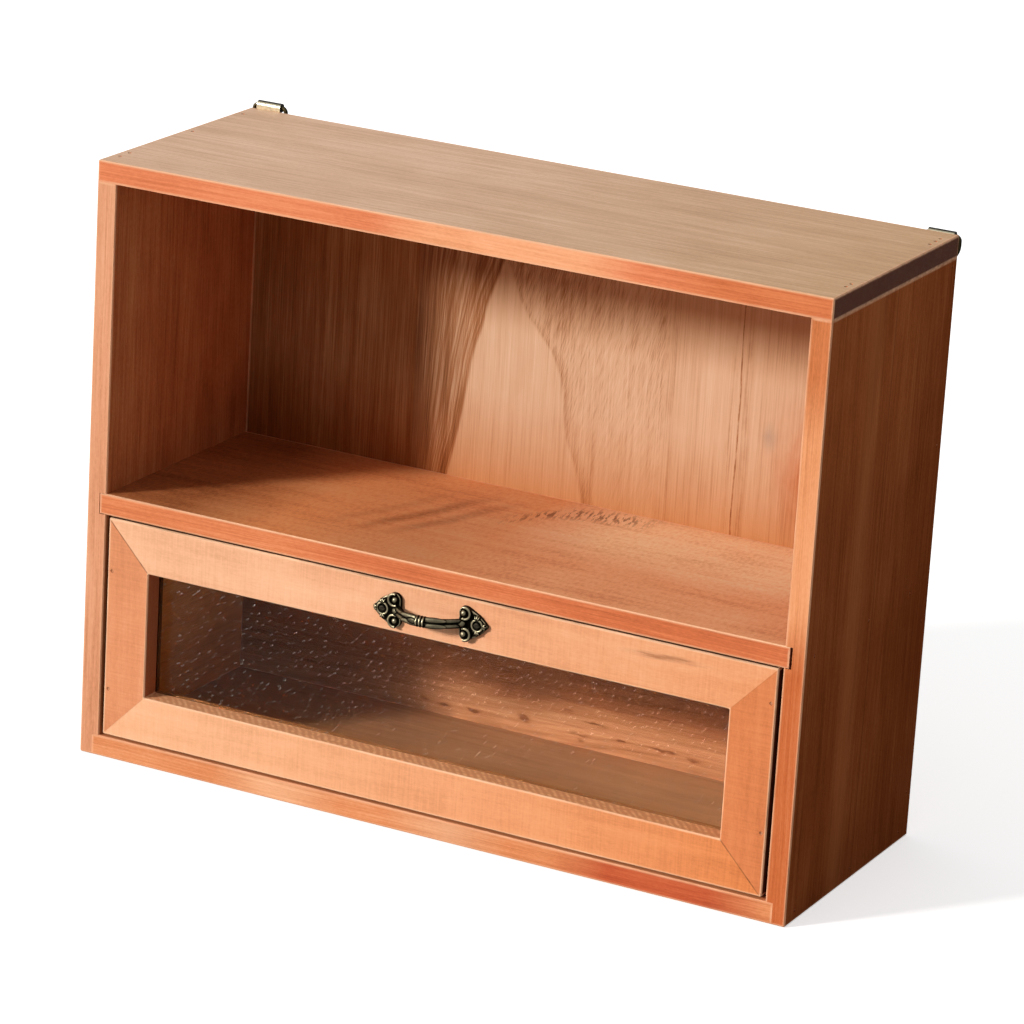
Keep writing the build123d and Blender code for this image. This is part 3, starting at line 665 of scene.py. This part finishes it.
# %% Tone of the back
# Each row is low, high, blur and the tone of a strip. Tone is 0 for pale and 1 for dark.
STRIP_TONES = ((-FAR, -144, 0.8, 0.60), (-144, -90, 1.5, 0.53), (53, 95, 1.5, 0.22), (95, FAR, 0.8, 0.26))
tone = 0.24
for low, high, blur, strip_tone in STRIP_TONES:
    tone = add_node(tree, "Mix", {0: between(tree, x, low, high, blur), 2: tone, 3: strip_tone})
in_bundle = overlap(tree, between(tree, off_left, 0, FAR, 1.0), between(tree, x, BUNDLE_SEAM, 0, 2.5))
# The lines are darkest beside the arch and at the strip's seam.
bundle_depth = add_node(tree, "FloatCurve", {"Value": fan_share},
                        curve=[(0.0, 0.48), (0.12, 0.37), (0.5, 0.34), (1.0, 0.55)])
tone = add_node(tree, "Mix", {0: in_bundle, 2: tone, 3: darkened(tree, bundle_depth, fan_lines, 0.44)})
right_part = overlap(tree, between(tree, off_right, 0, FAR, 1.0), between(tree, x, -80, 53, 3))
near_arch = add_node(tree, "MapRange", {"Value": off_right, "From Min": 80, "From Max": 0, "To Min": 0.2})
rim = add_node(tree, "MapRange", {"Value": off_right, "From Min": 8, "From Max": 0, "To Max": 0.9})
# High up right of the arch, under the top board, the wood is darkened: painted shade. The dark line along the
# arch's right flank is the wood's own.
high_up = overlap(tree, slope(tree, wavy, "X", 212, 262), near_arch)
shade_and_flank_line = add_node(tree, "Math", {0: high_up, 1: rim}, operation="MAXIMUM")
tone = darkened(tree, tone, shade_and_flank_line, right_part, 0.23)
tone = blended(tree, [(hair, 0.28), (wide, 0.18), (soft, 0.12)], tone)
fleck_depth = add_node(tree, "MapRange", {"Value": height, "From Min": 10, "From Max": 100,
                                          "To Min": 0.14, "To Max": 0.36})
fleck_swing = add_node(tree, "Math", {0: flecks, 1: 0.5}, operation="SUBTRACT")
tone = darkened(tree, tone, fleck_swing, right_part, fleck_depth)
print("strips beside the arch's:", len(STRIP_TONES))

# %% Seams and colour of the back
# Each seam is its place, how wide and blurred it is, and how dark. One is crisp, the others soft,
# and all of them come and go along their length.
SEAM_LINES = ((-144, 0.4, 0.6, 0.18), (-90, 0.8, 1.2, 0.12), (53, 1.0, 2.0, 0.26), (57.5, 1.0, 1.5, 0.16),
              (91, 1.0, 1.5, 0.20), (95, 0.4, 0.3, 0.60), (99, 1.5, 2.0, 0.18))
patches = uneven(tree, space, 9, 4, 26)
for place, half, blur, dark in SEAM_LINES:
    tone = darkened(tree, tone, between(tree, x, place - half, place + half, blur), patches, dark)
colour = add_node(tree, "ValToRGB", {0: tone}, stops=[
    (0.0, hex_colour("#e4c0a2")), (1.0, hex_colour("#5c3219")), (0.3, hex_colour("#d4aa88")),
    (0.6, hex_colour("#a8724c"))])
# The lower part is more orange. The warm tint high up under the top board, and the one on the strips left of
# the bundle, which lie in shade, are painted warm bounce light.
colour = coated(tree, colour, ("#e4bc94", slope(tree, space, "X", 190, 138)),
                ("#fff2e2", slope(tree, space, "X", 222, 250)),
                ("#ecaa80", spot(tree, space, (182, 0, -130), (48, FAR, 26)), soft),
                ("#fff4dc", between(tree, x, -FAR, -90, 0.5)), blend="MULTIPLY")
colour = coated(tree, colour, ("#a08a7a", spot(tree, space, (196, 0, -113), (11, FAR, 6)), soft))
finish_board(tree, space, colour, "back_board", "Z", 6, "#f0b48c", 0.05)
dress(back_finish, ["back_board"])

# %% [markdown]
# ## The drawer's front
# The front is a frame of four mitred pieces in the palest, smoothest wood. Where a rail meets a
# stile, the joint shows as a fine line that stands a little open at the upper left and the lower
# right. The line is worked out from the window's corner, so both pieces draw their half of it. The
# top rail has one dark streak, and the groove under the glass keeps the slanting ripples of its cutter.

# %% Touches of the front
WINDOW_MIDDLE = (0, -66, 70.3)
WINDOW_CORNER = (162.7, 33.3)
MITRE_RISE = 1.042
MITRE_LEVEL = WINDOW_CORNER[1] - MITRE_RISE * WINDOW_CORNER[0]
MITRE_HALF = 0.35               # half the width of the joint's line, in mm


def mitred(tree, space, colour):
    """A dark line along the joint between rail and stile."""
    square = board_space(tree, "X", WINDOW_MIDDLE)
    side = add_node(tree, "SeparateXYZ", {0: square})
    size = add_node(tree, "VectorMath", {0: square}, operation="ABSOLUTE")
    reach = add_node(tree, "SeparateXYZ", {0: size})
    across, upwards = reach.outputs["X"], reach.outputs["Z"]
    rise = add_node(tree, "Math", {0: across, 1: -MITRE_RISE, 2: upwards}, operation="MULTIPLY_ADD")
    line = between(tree, rise, MITRE_LEVEL - MITRE_HALF, MITRE_LEVEL + MITRE_HALF, MITRE_HALF)
    corner = add_node(tree, "Math", {0: side.outputs["X"], 1: side.outputs["Z"]}, operation="MULTIPLY")
    opened = add_node(tree, "MapRange", {"Value": corner, "From Min": -500, "From Max": 500,
                                         "To Min": 0.9, "To Max": 0.15})
    colour = coated(tree, colour, ("#54301c", line, uneven(tree, square, 5, 5, 34, least=0.4), opened))
    # The window's upright sides are darkened: painted shade.
    colour = coated(tree, colour, ("#cebaae", between(tree, across, 100, 163, 0.2), facing(tree, "X")),
                    blend="MULTIPLY")
    # The outer edges of the frame, seen in the gaps round the drawer, are painted dark: painted shade.
    outer = add_node(tree, "Math", {0: between(tree, across, 186, FAR, 0.4),
                                    1: between(tree, upwards, 56.5, FAR, 0.4)}, operation="MAXIMUM")
    not_front = add_node(tree, "Math", {0: 1.0, 1: facing(tree, "Y")}, operation="SUBTRACT")
    return coated(tree, colour, ("#5c3620", outer, not_front))


def streaked(tree, space, colour):
    """The top rail's dark streak, and its mitres."""
    streak = spot(tree, bent(tree, space, 8, 3, 3), (128, 0, 51.3), (30, FAR, 2.6), -2)
    colour = coated(tree, colour, ("#8a4e2a", streak, uneven(tree, space, 12, 0.9, 31)))
    return mitred(tree, space, colour)


def rippled(tree, space, colour):
    """Slanting ripples on faces that look up, 3 mm apart, and the mitres."""
    slanted = add_node(tree, "Mapping", {"Vector": bent(tree, space, 8, 3, 7),
                                         "Rotation": (0, 0, math.radians(-40))})
    ripple = add_node(tree, "TexWave", {"Vector": slanted, "Scale": wave_scale(3.0), "Distortion": 3.0},
                      bands_direction="X")
    patchy = overlap(tree, ripple.outputs["Fac"], uneven(tree, space, 5, 2.5, 33, 0.16))
    tint = add_node(tree, "ValToRGB", {0: patchy},
                    stops=[(0.1, hex_colour("#dc9464")), (0.7, hex_colour("#fabe8a"))])
    colour = coated(tree, colour, (tint, facing(tree, "Z"), 0.8))
    return mitred(tree, space, colour)


# %% Rails and stiles
FRONT_HEART = (60, 8)
# Each row is a part, its grain, palette, seed, fade and touch. The rails' fades to darker, redder
# wood at the right, and the right stile's darker palette, are a painted fall-off of the light from the left.
FRAME = (
    ("top rail", "X", ("#fccaa4", "#f4b890", "#d89870"), 7,
     ("X", -120, 180, ("#f4b082", "#e89a68", "#cc7e50")), streaked),
    ("bottom rail", "X", ("#fcc49a", "#f4b488", "#d89668"), 12,
     ("X", -110, 180, ("#f09a60", "#e48a50", "#c46c3a")), rippled),
    ("left stile", "Z", ("#eeaa7e", "#e29468", "#c67c52"), 8, None, mitred),
    ("right stile", "Z", ("#e8925e", "#da8250", "#bc683c"), 13, None, mitred),
)
for part, grain, palette, seed, fade, touch in FRAME:
    stained_board("peach stained " + part, ["drawer_" + part.replace(" ", "_")], grain, WINDOW_MIDDLE,
                  FRONT_HEART, palette, seed, shares=SAWN, fade=fade, touch=touch, wear_and_highlight="#ffd0a8")
stained_board("stained glazing beads", ["bottom_glazing_bead", "top_glazing_bead", "right_glazing_bead"],
              "X", WINDOW_MIDDLE, FRONT_HEART, ("#c08a5e", "#a87248", "#86542f"), 15, wear_and_highlight=None, gloss=0.1)
# The left bead lies in shade at the window's left side, so its dark palette is painted shade.
stained_board("glazing bead in painted shade", ["left_glazing_bead"], "Z", WINDOW_MIDDLE, FRONT_HEART,
              ("#7c5034", "#5e3a22", "#3e2414"), 15, wear_and_highlight=None, gloss=0.1)

# %% [markdown]
# ## The drawer's box
# Through the glass the drawer's back shows the only lively wood of the cabinet: wavy fibre with a
# dark knot low down, a fainter one beside it and thin torn streaks. The sides and the plywood bottom
# are plain and brown. A knot is a dark spot in a ring of swirled fibre, and a streak is the same
# spot, drawn long and thin.

# %% Box boards
# Each mark is its place along and up the board, its half length and half height in mm, and a depth.
KNOTS = ((-8, -43, 5, 3.4, 0.8), (-18, -28.5, 6, 5.0, 0.35), (-55, -46, 5, 1.4, 0.9),
         (-38, -45.5, 6, 1.5, 0.8), (-67, -45, 4, 1.3, 0.7), (17, -33, 4, 1.3, 0.5),
         (32, -37.5, 10, 1.2, 0.8), (24, -45, 9, 1.0, 0.5), (48, -43, 4, 1.3, 0.8),
         (71, -43, 13, 1.2, 0.8), (90, -44.5, 6, 1.3, 0.7), (25, -48, 3, 1.6, 0.6))
CRISPNESS = 2.5                 # how steeply a mark reaches its full depth


def knotted(tree, space, colour):
    """Knots and streaks along the lower part of the drawer's back, with torn, wavy outlines."""
    # The wood is browner round the knots, partly its own colour and partly painted shade, and darker along
    # the upper part, a painted shadow of the window's top rail.
    colour = coated(tree, colour, ("#c4bab0", spot(tree, space, (-12, 0, -30), (55, FAR, 20))),
                    ("#cbc5c0", slope(tree, space, "Z", -34, -20), slope(tree, space, "X", -90, -40)),
                    blend="MULTIPLY")
    wavy = bent(tree, space, 1.6, 4, 12)
    torn = uneven(tree, wavy, 9, 1.0, 32, 0.16, 0.3)
    for x, z, half_length, half_height, depth in KNOTS:
        for size, share, code in ((2.0, 0.35, "#a4663e"), (1.0, 1.0, "#6a381c")):
            mark = spot(tree, wavy, (x, 0, z), (half_length * size, FAR, half_height * size))
            crisp = add_node(tree, "Math", {0: overlap(tree, mark, torn), 1: CRISPNESS},
                             operation="MULTIPLY", use_clamp=True)
            colour = coated(tree, colour, (code, crisp, depth * share))
    return colour


KNOTTY = {"rings": 0.14, "fibres": 0.30, "streaks": 0.34, "blotches": 0.30}
stained_board("stained drawer side", ["drawer_left_side", "drawer_right_side"], "Y", (0, 0, 66), (8, 70),
              ("#e2ac71", "#cf9359", "#a97244"), 9, wear_and_highlight=None, gloss=0.1)
# Its upper part fades to a darker palette, a painted shadow of the window's top rail.
stained_board("stained knotty drawer back", ["drawer_back"], "X", (0, 57, 66), (60, 0),
              ("#dca882", "#bc8460", "#8c5838"), 10, shares=KNOTTY, touch=knotted, wear_and_highlight=None, gloss=0.1,
              fade=("Z", -38, -22, ("#c08153", "#a3653d", "#794221")), wave=16)
stained_board("stained plywood drawer bottom", ["drawer_bottom_panel"], "X", (0, 2, 12.8), (0, 90),
              ("#c29670", "#ae805c", "#8a6042"), 11, wear_and_highlight=None, gloss=0.1,
              fade=("X", 30, 140, ("#cfa47e", "#bd9069", "#976f50")))

# %% [markdown]
# ## Nails and glass
# The nails in the top show as rusty brown dots. Those in the drawer's front and in the side boards
# were sunk, filled and stained over, so they hardly show. The pane is plain window glass with a
# little dust. A lamp's ray would be lost in a solid pane, so shadow rays pass through a clear shader.
# Window glass has an index of 1.5. The picture shows almost no reflection in it, so the pane gets a
# lower index, which weakens its reflection and moves the view through so thin a pane hardly at all.

# %% Nail steel
# Each row is a finish, its pale and dark colours, metallic, roughness and pieces.
NAILS = (
    ("darkened steel nail", "#5a4e42", "#2c2620", 1.0, 0.5, ["drawer_back_brads", "drawer_bottom_brads"]),
    ("rusty steel nail", "#6a4a30", "#3c2818", 0.0, 0.6, ["top_board_brads"]),
    ("filled and stained nail", "#b0683c", "#8a4a28", 0.0, 0.6,
     ["shelf_brads", "bottom_board_brads", "back_board_brads"]),
    ("filled nail stained pale", "#d89468", "#b8744a", 0.0, 0.6, ["drawer_front_brads"]),
)
for name, pale, dark, metallic, roughness, names in NAILS:
    finish, tree = new_finish(name)
    # The heads are mottled in spots of about 0.7 mm.
    mottled = uneven(tree, board_space(tree, "X", (0, 0, 0)), 0.7, 0.7, 14)
    colour = add_node(tree, "ValToRGB", {0: mottled},
                      stops=[(0.2, hex_colour(pale)), (0.8, hex_colour(dark))])
    surface = add_node(tree, "BsdfPrincipled", {"Base Color": colour, "Metallic": metallic,
                                                "Roughness": roughness})
    add_node(tree, "OutputMaterial", {"Surface": surface})
    dress(finish, names)

# %% Window glass
glass, tree = new_finish("dusty window glass")
plane = add_node(tree, "SeparateXYZ", {0: board_space(tree, "X", (0, 0, 0))})
flat = add_node(tree, "CombineXYZ", {0: plane.outputs["X"], 1: plane.outputs["Z"]})
# Dust grains are 0.1 mm. They are drawn 0.7 mm wide and about 5 mm apart, so that they show.
grains = add_node(tree, "TexVoronoi", {"Vector": flat, "Scale": 1 / 5}, voronoi_dimensions="2D")
grain = add_node(tree, "MapRange", {"Value": grains, "From Min": 0.08, "From Max": 0.03})
dust = overlap(tree, grain, uneven(tree, flat, 18, 12, 15, 0.25))
clarity = add_node(tree, "MapRange", {"Value": dust, "To Min": 1.0, "To Max": 0.6})
ray = add_node(tree, "LightPath")
pane = add_node(tree, "BsdfPrincipled", {"Base Color": hex_colour("#f4f0e8"), "Roughness": 0.0, "IOR": 1.17,
                                         "Transmission Weight": clarity})
clear = add_node(tree, "BsdfTransparent", {"Color": hex_colour("#f0eee8")})
lamps = add_node(tree, "MixShader", {0: ray.outputs["Is Shadow Ray"], 1: pane, 2: clear})
add_node(tree, "OutputMaterial", {"Surface": lamps})
dress(glass, ["glass_pane"])

# %% [markdown]
# ## Casting the handle
# The handle is a small bow pull, cast in one piece: a bar of two ridges with three rings round its
# middle, and at each end two scrolls and a screw plate with three petals on one thick shield.
# Castings have soft inner corners. So the handle is first built from plain overlapping forms, right
# half only, which are mirrored, and a voxel remesh then melts them into one skin. It is built lying
# on its back, with Z out of the rail, and set on the rail at the end, a little askew, as it was
# screwed on.

# %% Forms of the casting
BOW_HEIGHT = 10.6
BOW_RADIUS = 23.51
BOW_HALF_ANGLE = 51.9
SCROLL_AT = (19.7, 5.4)
PLATE_AT = 26.4


def turned_to(direction):
    """Rotation that takes Z to a direction."""
    return Vector(direction).to_track_quat("Z", "Y").to_matrix().to_4x4()


def blob(cast, centre, radii, turn=0.0, tip=0.0):
    """An egg shape with its own radius along each axis, turned about Z and tipped about Y."""
    matrix = Matrix.Translation(metres(*centre)) @ Matrix.Rotation(math.radians(turn), 4, "Z")
    matrix = matrix @ Matrix.Rotation(math.radians(tip), 4, "Y")
    matrix = matrix @ Matrix.Diagonal((*(radius * MM for radius in radii), 1))
    bmesh.ops.create_icosphere(cast, subdivisions=4, radius=1.0, matrix=matrix)


def disc(cast, centre, radius, thickness):
    """A round plate that stands on its centre point, with a slightly smaller top."""
    x, y, z = centre
    matrix = Matrix.Translation(metres(x, y, z + thickness / 2))
    bmesh.ops.create_cone(cast, cap_ends=True, segments=48, radius1=radius * MM, radius2=radius * MM * 0.93,
                          depth=thickness * MM, matrix=matrix)


def hoop(cast, centre, radius, wire, axis, start, turn):
    """A round wire bent along an arc. Start is a direction from the centre, turn is in degrees."""
    middle = metres(*centre)
    outwards = Vector(start).normalized()
    section = Matrix.Translation(middle + outwards * radius * MM) @ turned_to(Vector(axis).cross(outwards))
    ring = bmesh.ops.create_circle(cast, cap_ends=abs(turn) < 360, segments=20, radius=wire * MM,
                                   matrix=section)
    edges = list({edge for vert in ring["verts"] for edge in vert.link_edges})
    faces = list({face for vert in ring["verts"] for face in vert.link_faces})
    bmesh.ops.spin(cast, geom=ring["verts"] + edges + faces, cent=middle, axis=axis,
                   angle=math.radians(turn), steps=max(12, int(abs(turn) / 5)), use_merge=abs(turn) >= 360)


def on_circle(degrees):
    """A direction in the plane of the rail."""
    return Vector((math.cos(math.radians(degrees)), math.sin(math.radians(degrees)), 0))


# %% [markdown]
# ### The shield
# Seen from the front, each end has one straight-sided outline, black between the raised forms. Its
# plate is a tight skin round five discs, which the convex hull operator draws.

# %% Shield of the right end
shield = bmesh.new()
for hand in (-1, 1):
    disc(shield, (SCROLL_AT[0], SCROLL_AT[1] * hand, 0), 3.6, 2.0)
    disc(shield, (PLATE_AT, 4.0 * hand, 0), 1.5, 1.7)
disc(shield, (PLATE_AT + 4.3, 0, 0), 1.4, 1.7)
hull = bmesh.ops.convex_hull(shield, input=shield.verts)
loose = {item for item in hull["geom_interior"] + hull["geom_unused"] if isinstance(item, bmesh.types.BMVert)}
bmesh.ops.delete(shield, geom=list(loose), context="VERTS")
shield_mesh = bpy.data.meshes.new("handle_shield")
shield.to_mesh(shield_mesh)
shield.free()
print("shield:", len(shield_mesh.vertices), "vertices")

# %% Scrolls and petals of the right end
cast = bmesh.new()
cast.from_mesh(shield_mesh)
bpy.data.meshes.remove(shield_mesh)
for hand in (-1, 1):
    x, y = SCROLL_AT[0], SCROLL_AT[1] * hand
    blob(cast, (x - 0.5, y, 2.2), (1.7, 1.7, 1.6))
    hoop(cast, (x, y, 2.6), 3.0, 0.75, (0, 0, 1), on_circle(-118 * hand), 225 * hand)
hoop(cast, (PLATE_AT, 0, 2.0), 2.9, 0.6, (0, 0, 1), (1, 0, 0), 360)
for degrees in (-90, 0, 90):
    out = on_circle(degrees)
    for side in (-1, 0, 1):
        lean = 30 * side
        middle = Vector((PLATE_AT, 0, 1.8)) + out * 2.4 + on_circle(degrees + lean) * 1.5
        blob(cast, middle, (1.35, 0.55, 1.1), degrees + lean)
blob(cast, (17.4, 0, 2.4), (3.2, 2.2, 2.0))
bmesh.ops.mirror(cast, geom=cast.verts[:] + cast.edges[:] + cast.faces[:], merge_dist=-1.0, axis="X")
print("forms of both ends:", len(cast.verts), "vertices")

# %% Bar and rings
bow_level = BOW_HEIGHT - BOW_RADIUS
bow_start = Matrix.Rotation(math.radians(-BOW_HALF_ANGLE), 3, "Y") @ Vector((0, 0, 1))
for hand in (-1, 1):
    hoop(cast, (0, 1.3 * hand, bow_level), BOW_RADIUS, 1.2, (0, 1, 0), bow_start, 2 * BOW_HALF_ANGLE)
hoop(cast, (0, 0, bow_level), BOW_RADIUS - 1.1, 1.25, (0, 1, 0), bow_start, 2 * BOW_HALF_ANGLE)
for place in (-1.8, 0, 1.8):
    hoop(cast, (place, 0, BOW_HEIGHT - 0.2), 2.35, 0.62, (1, 0, 0), (0, 0, 1), 360)
# The bar swells towards its middle, and more so on the left of the rings.
for side in (-1, 1):
    for hand in (-1, 1):
        blob(cast, (6.0 * side, 1.45 * hand, BOW_HEIGHT - 0.8), (7.0, 1.5, 1.35), tip=14 * side)
blob(cast, (-4.4, 0, BOW_HEIGHT - 0.6), (4.0, 2.5, 1.8), tip=-11)
bmesh.ops.recalc_face_normals(cast, faces=cast.faces)
blank = bpy.data.meshes.new("handle_blank")
cast.to_mesh(blank)
cast.free()
print("all forms:", len(blank.vertices), "vertices")

# %% Melt the forms into one skin
VOXEL = 0.22
mould = bpy.data.objects.new("handle_mould", blank)
scene.collection.objects.link(mould)
melt = mould.modifiers.new("melt", "REMESH")
melt.mode = "VOXEL"
melt.voxel_size = VOXEL * MM
skin = bpy.data.meshes.new_from_object(mould.evaluated_get(bpy.context.evaluated_depsgraph_get()))
bpy.data.objects.remove(mould)
print("skin:", len(skin.vertices), "vertices")

# %% [markdown]
# ### Set on the rail
# Smoothing takes off the remesh's steps, and a cut at Z 0 gives the casting a flat back. The
# finished mesh is then turned to face the front, and its object stays at the origin.

# %% Handle in its place
HANDLE_AT = (0, -74, 116.0)
HANDLE_TILT = 2.0
cast = bmesh.new()
cast.from_mesh(skin)
for turn in range(2):
    bmesh.ops.smooth_vert(cast, verts=cast.verts, factor=0.5, use_axis_x=True, use_axis_y=True,
                          use_axis_z=True)
cut = bmesh.ops.bisect_plane(cast, geom=cast.verts[:] + cast.edges[:] + cast.faces[:], plane_co=(0, 0, 0),
                             plane_no=(0, 0, 1), clear_inner=True)
rim = [item for item in cut["geom_cut"] if isinstance(item, bmesh.types.BMEdge)]
bmesh.ops.edgeloop_fill(cast, edges=rim)
bmesh.ops.triangulate(cast, faces=[face for face in cast.faces if len(face.verts) > 4])
on_rail = Matrix.Translation(metres(*HANDLE_AT)) @ Matrix.Rotation(math.radians(90), 4, "X")
on_rail = on_rail @ Matrix.Rotation(math.radians(HANDLE_TILT), 4, "Z")
bmesh.ops.transform(cast, matrix=on_rail, verts=cast.verts)
bmesh.ops.recalc_face_normals(cast, faces=cast.faces)
open_edges = sum(1 for edge in cast.edges if len(edge.link_faces) != 2)
cast.to_mesh(skin)
cast.free()
skin.shade_smooth()
handle = bpy.data.objects.new("cast_handle", skin)
scene.collection.objects.link(handle)
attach(handle, "drawer")
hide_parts("drawer_handle")
low = [round(min(vert.co[i] for vert in skin.vertices) * 1000, 2) for i in range(3)]
high = [round(max(vert.co[i] for vert in skin.vertices) * 1000, 2) for i in range(3)]
print("handle from", low, "to", high, "faces", len(skin.polygons), "open edges", open_edges)

# %% [markdown]
# ## Antique bronze
# Antique bronze is a zinc casting plated with brass, blackened, and rubbed back, so the hollows stay
# nearly black and the ridges shine through. The mesh's own pointiness tells ridge from hollow. Ridges
# are made paler still where they face one direction, about halfway between the lamp and the camera,
# which the surface's direction tells: a painted highlight. A metal has no colour of its own beside
# its reflections, so dark and pale are base colours here.

# %% Bronze finishes
HIGHLIGHT_FACING = (0.55, 0.85)           # how squarely a face looks along the painted highlight's direction, from none to full
# About halfway between the lamp and the camera: the direction of the painted highlight.
TOWARD_HIGHLIGHT = (0, -0.94, 0.34)


def bronze_wear_and_highlight(name, hollow, ridge, roughness, rubbing, highlight_way):
    """Blackened bronze, rubbed pale on its ridges, and paler where they face one direction: a painted
    highlight.
    """
    finish, tree = new_finish(name)
    shape = add_node(tree, "NewGeometry")
    raised = add_node(tree, "MapRange", {"Value": shape.outputs["Pointiness"], "From Min": rubbing[0],
                                         "From Max": rubbing[1]})
    way = add_node(tree, "TexCoord").outputs["Normal"]
    # Faces turned towards the highlight's direction are made pale: a painted highlight.
    towards = add_node(tree, "VectorMath", {0: way, 1: Vector(highlight_way).normalized()}, operation="DOT_PRODUCT")
    faces_highlight = add_node(tree, "MapRange", {"Value": towards, "From Min": HIGHLIGHT_FACING[0], "From Max": HIGHLIGHT_FACING[1]})
    here = board_space(tree, "X", (0, 0, 0))
    wear_and_highlight = overlap(tree, raised, faces_highlight, uneven(tree, here, 2.0, 2.0, 16, least=0.6))
    grit = uneven(tree, here, 0.35, 0.35, 17)
    bump = add_node(tree, "Bump", {"Height": grit, "Strength": 0.3, "Distance": 0.03 * MM})
    rough = add_node(tree, "MapRange", {"Value": wear_and_highlight, "To Min": roughness + 0.15, "To Max": roughness})
    colour = coated(tree, hex_colour(hollow), (ridge, wear_and_highlight))
    surface = add_node(tree, "BsdfPrincipled", {"Base Color": colour, "Metallic": 1.0, "Roughness": rough,
                                                "Normal": bump})
    add_node(tree, "OutputMaterial", {"Surface": surface})
    return finish


skin.materials.append(bronze_wear_and_highlight("antique bronze casting", "#0e0b07", "#e8dab2", 0.34, (0.500, 0.532),
                                    TOWARD_HIGHLIGHT))
dress(bronze_wear_and_highlight("antique bronze plate", "#1c1710", "#f2e8c8", 0.34, (0.42, 0.50), (0, -1, 0.1)),
      ["left_hanger_strap", "right_hanger_strap"])
dress(bronze_wear_and_highlight("blackened bronze wire", "#16120c", "#6a5e42", 0.4, (0.44, 0.53), TOWARD_HIGHLIGHT),
      ["left_hanger_ring", "right_hanger_ring"])
dress(bronze_wear_and_highlight("bronze screw", "#1a1713", "#6a6252", 0.4, (0.48, 0.6), TOWARD_HIGHLIGHT),
      ["hanger_screws", "handle_screws"])
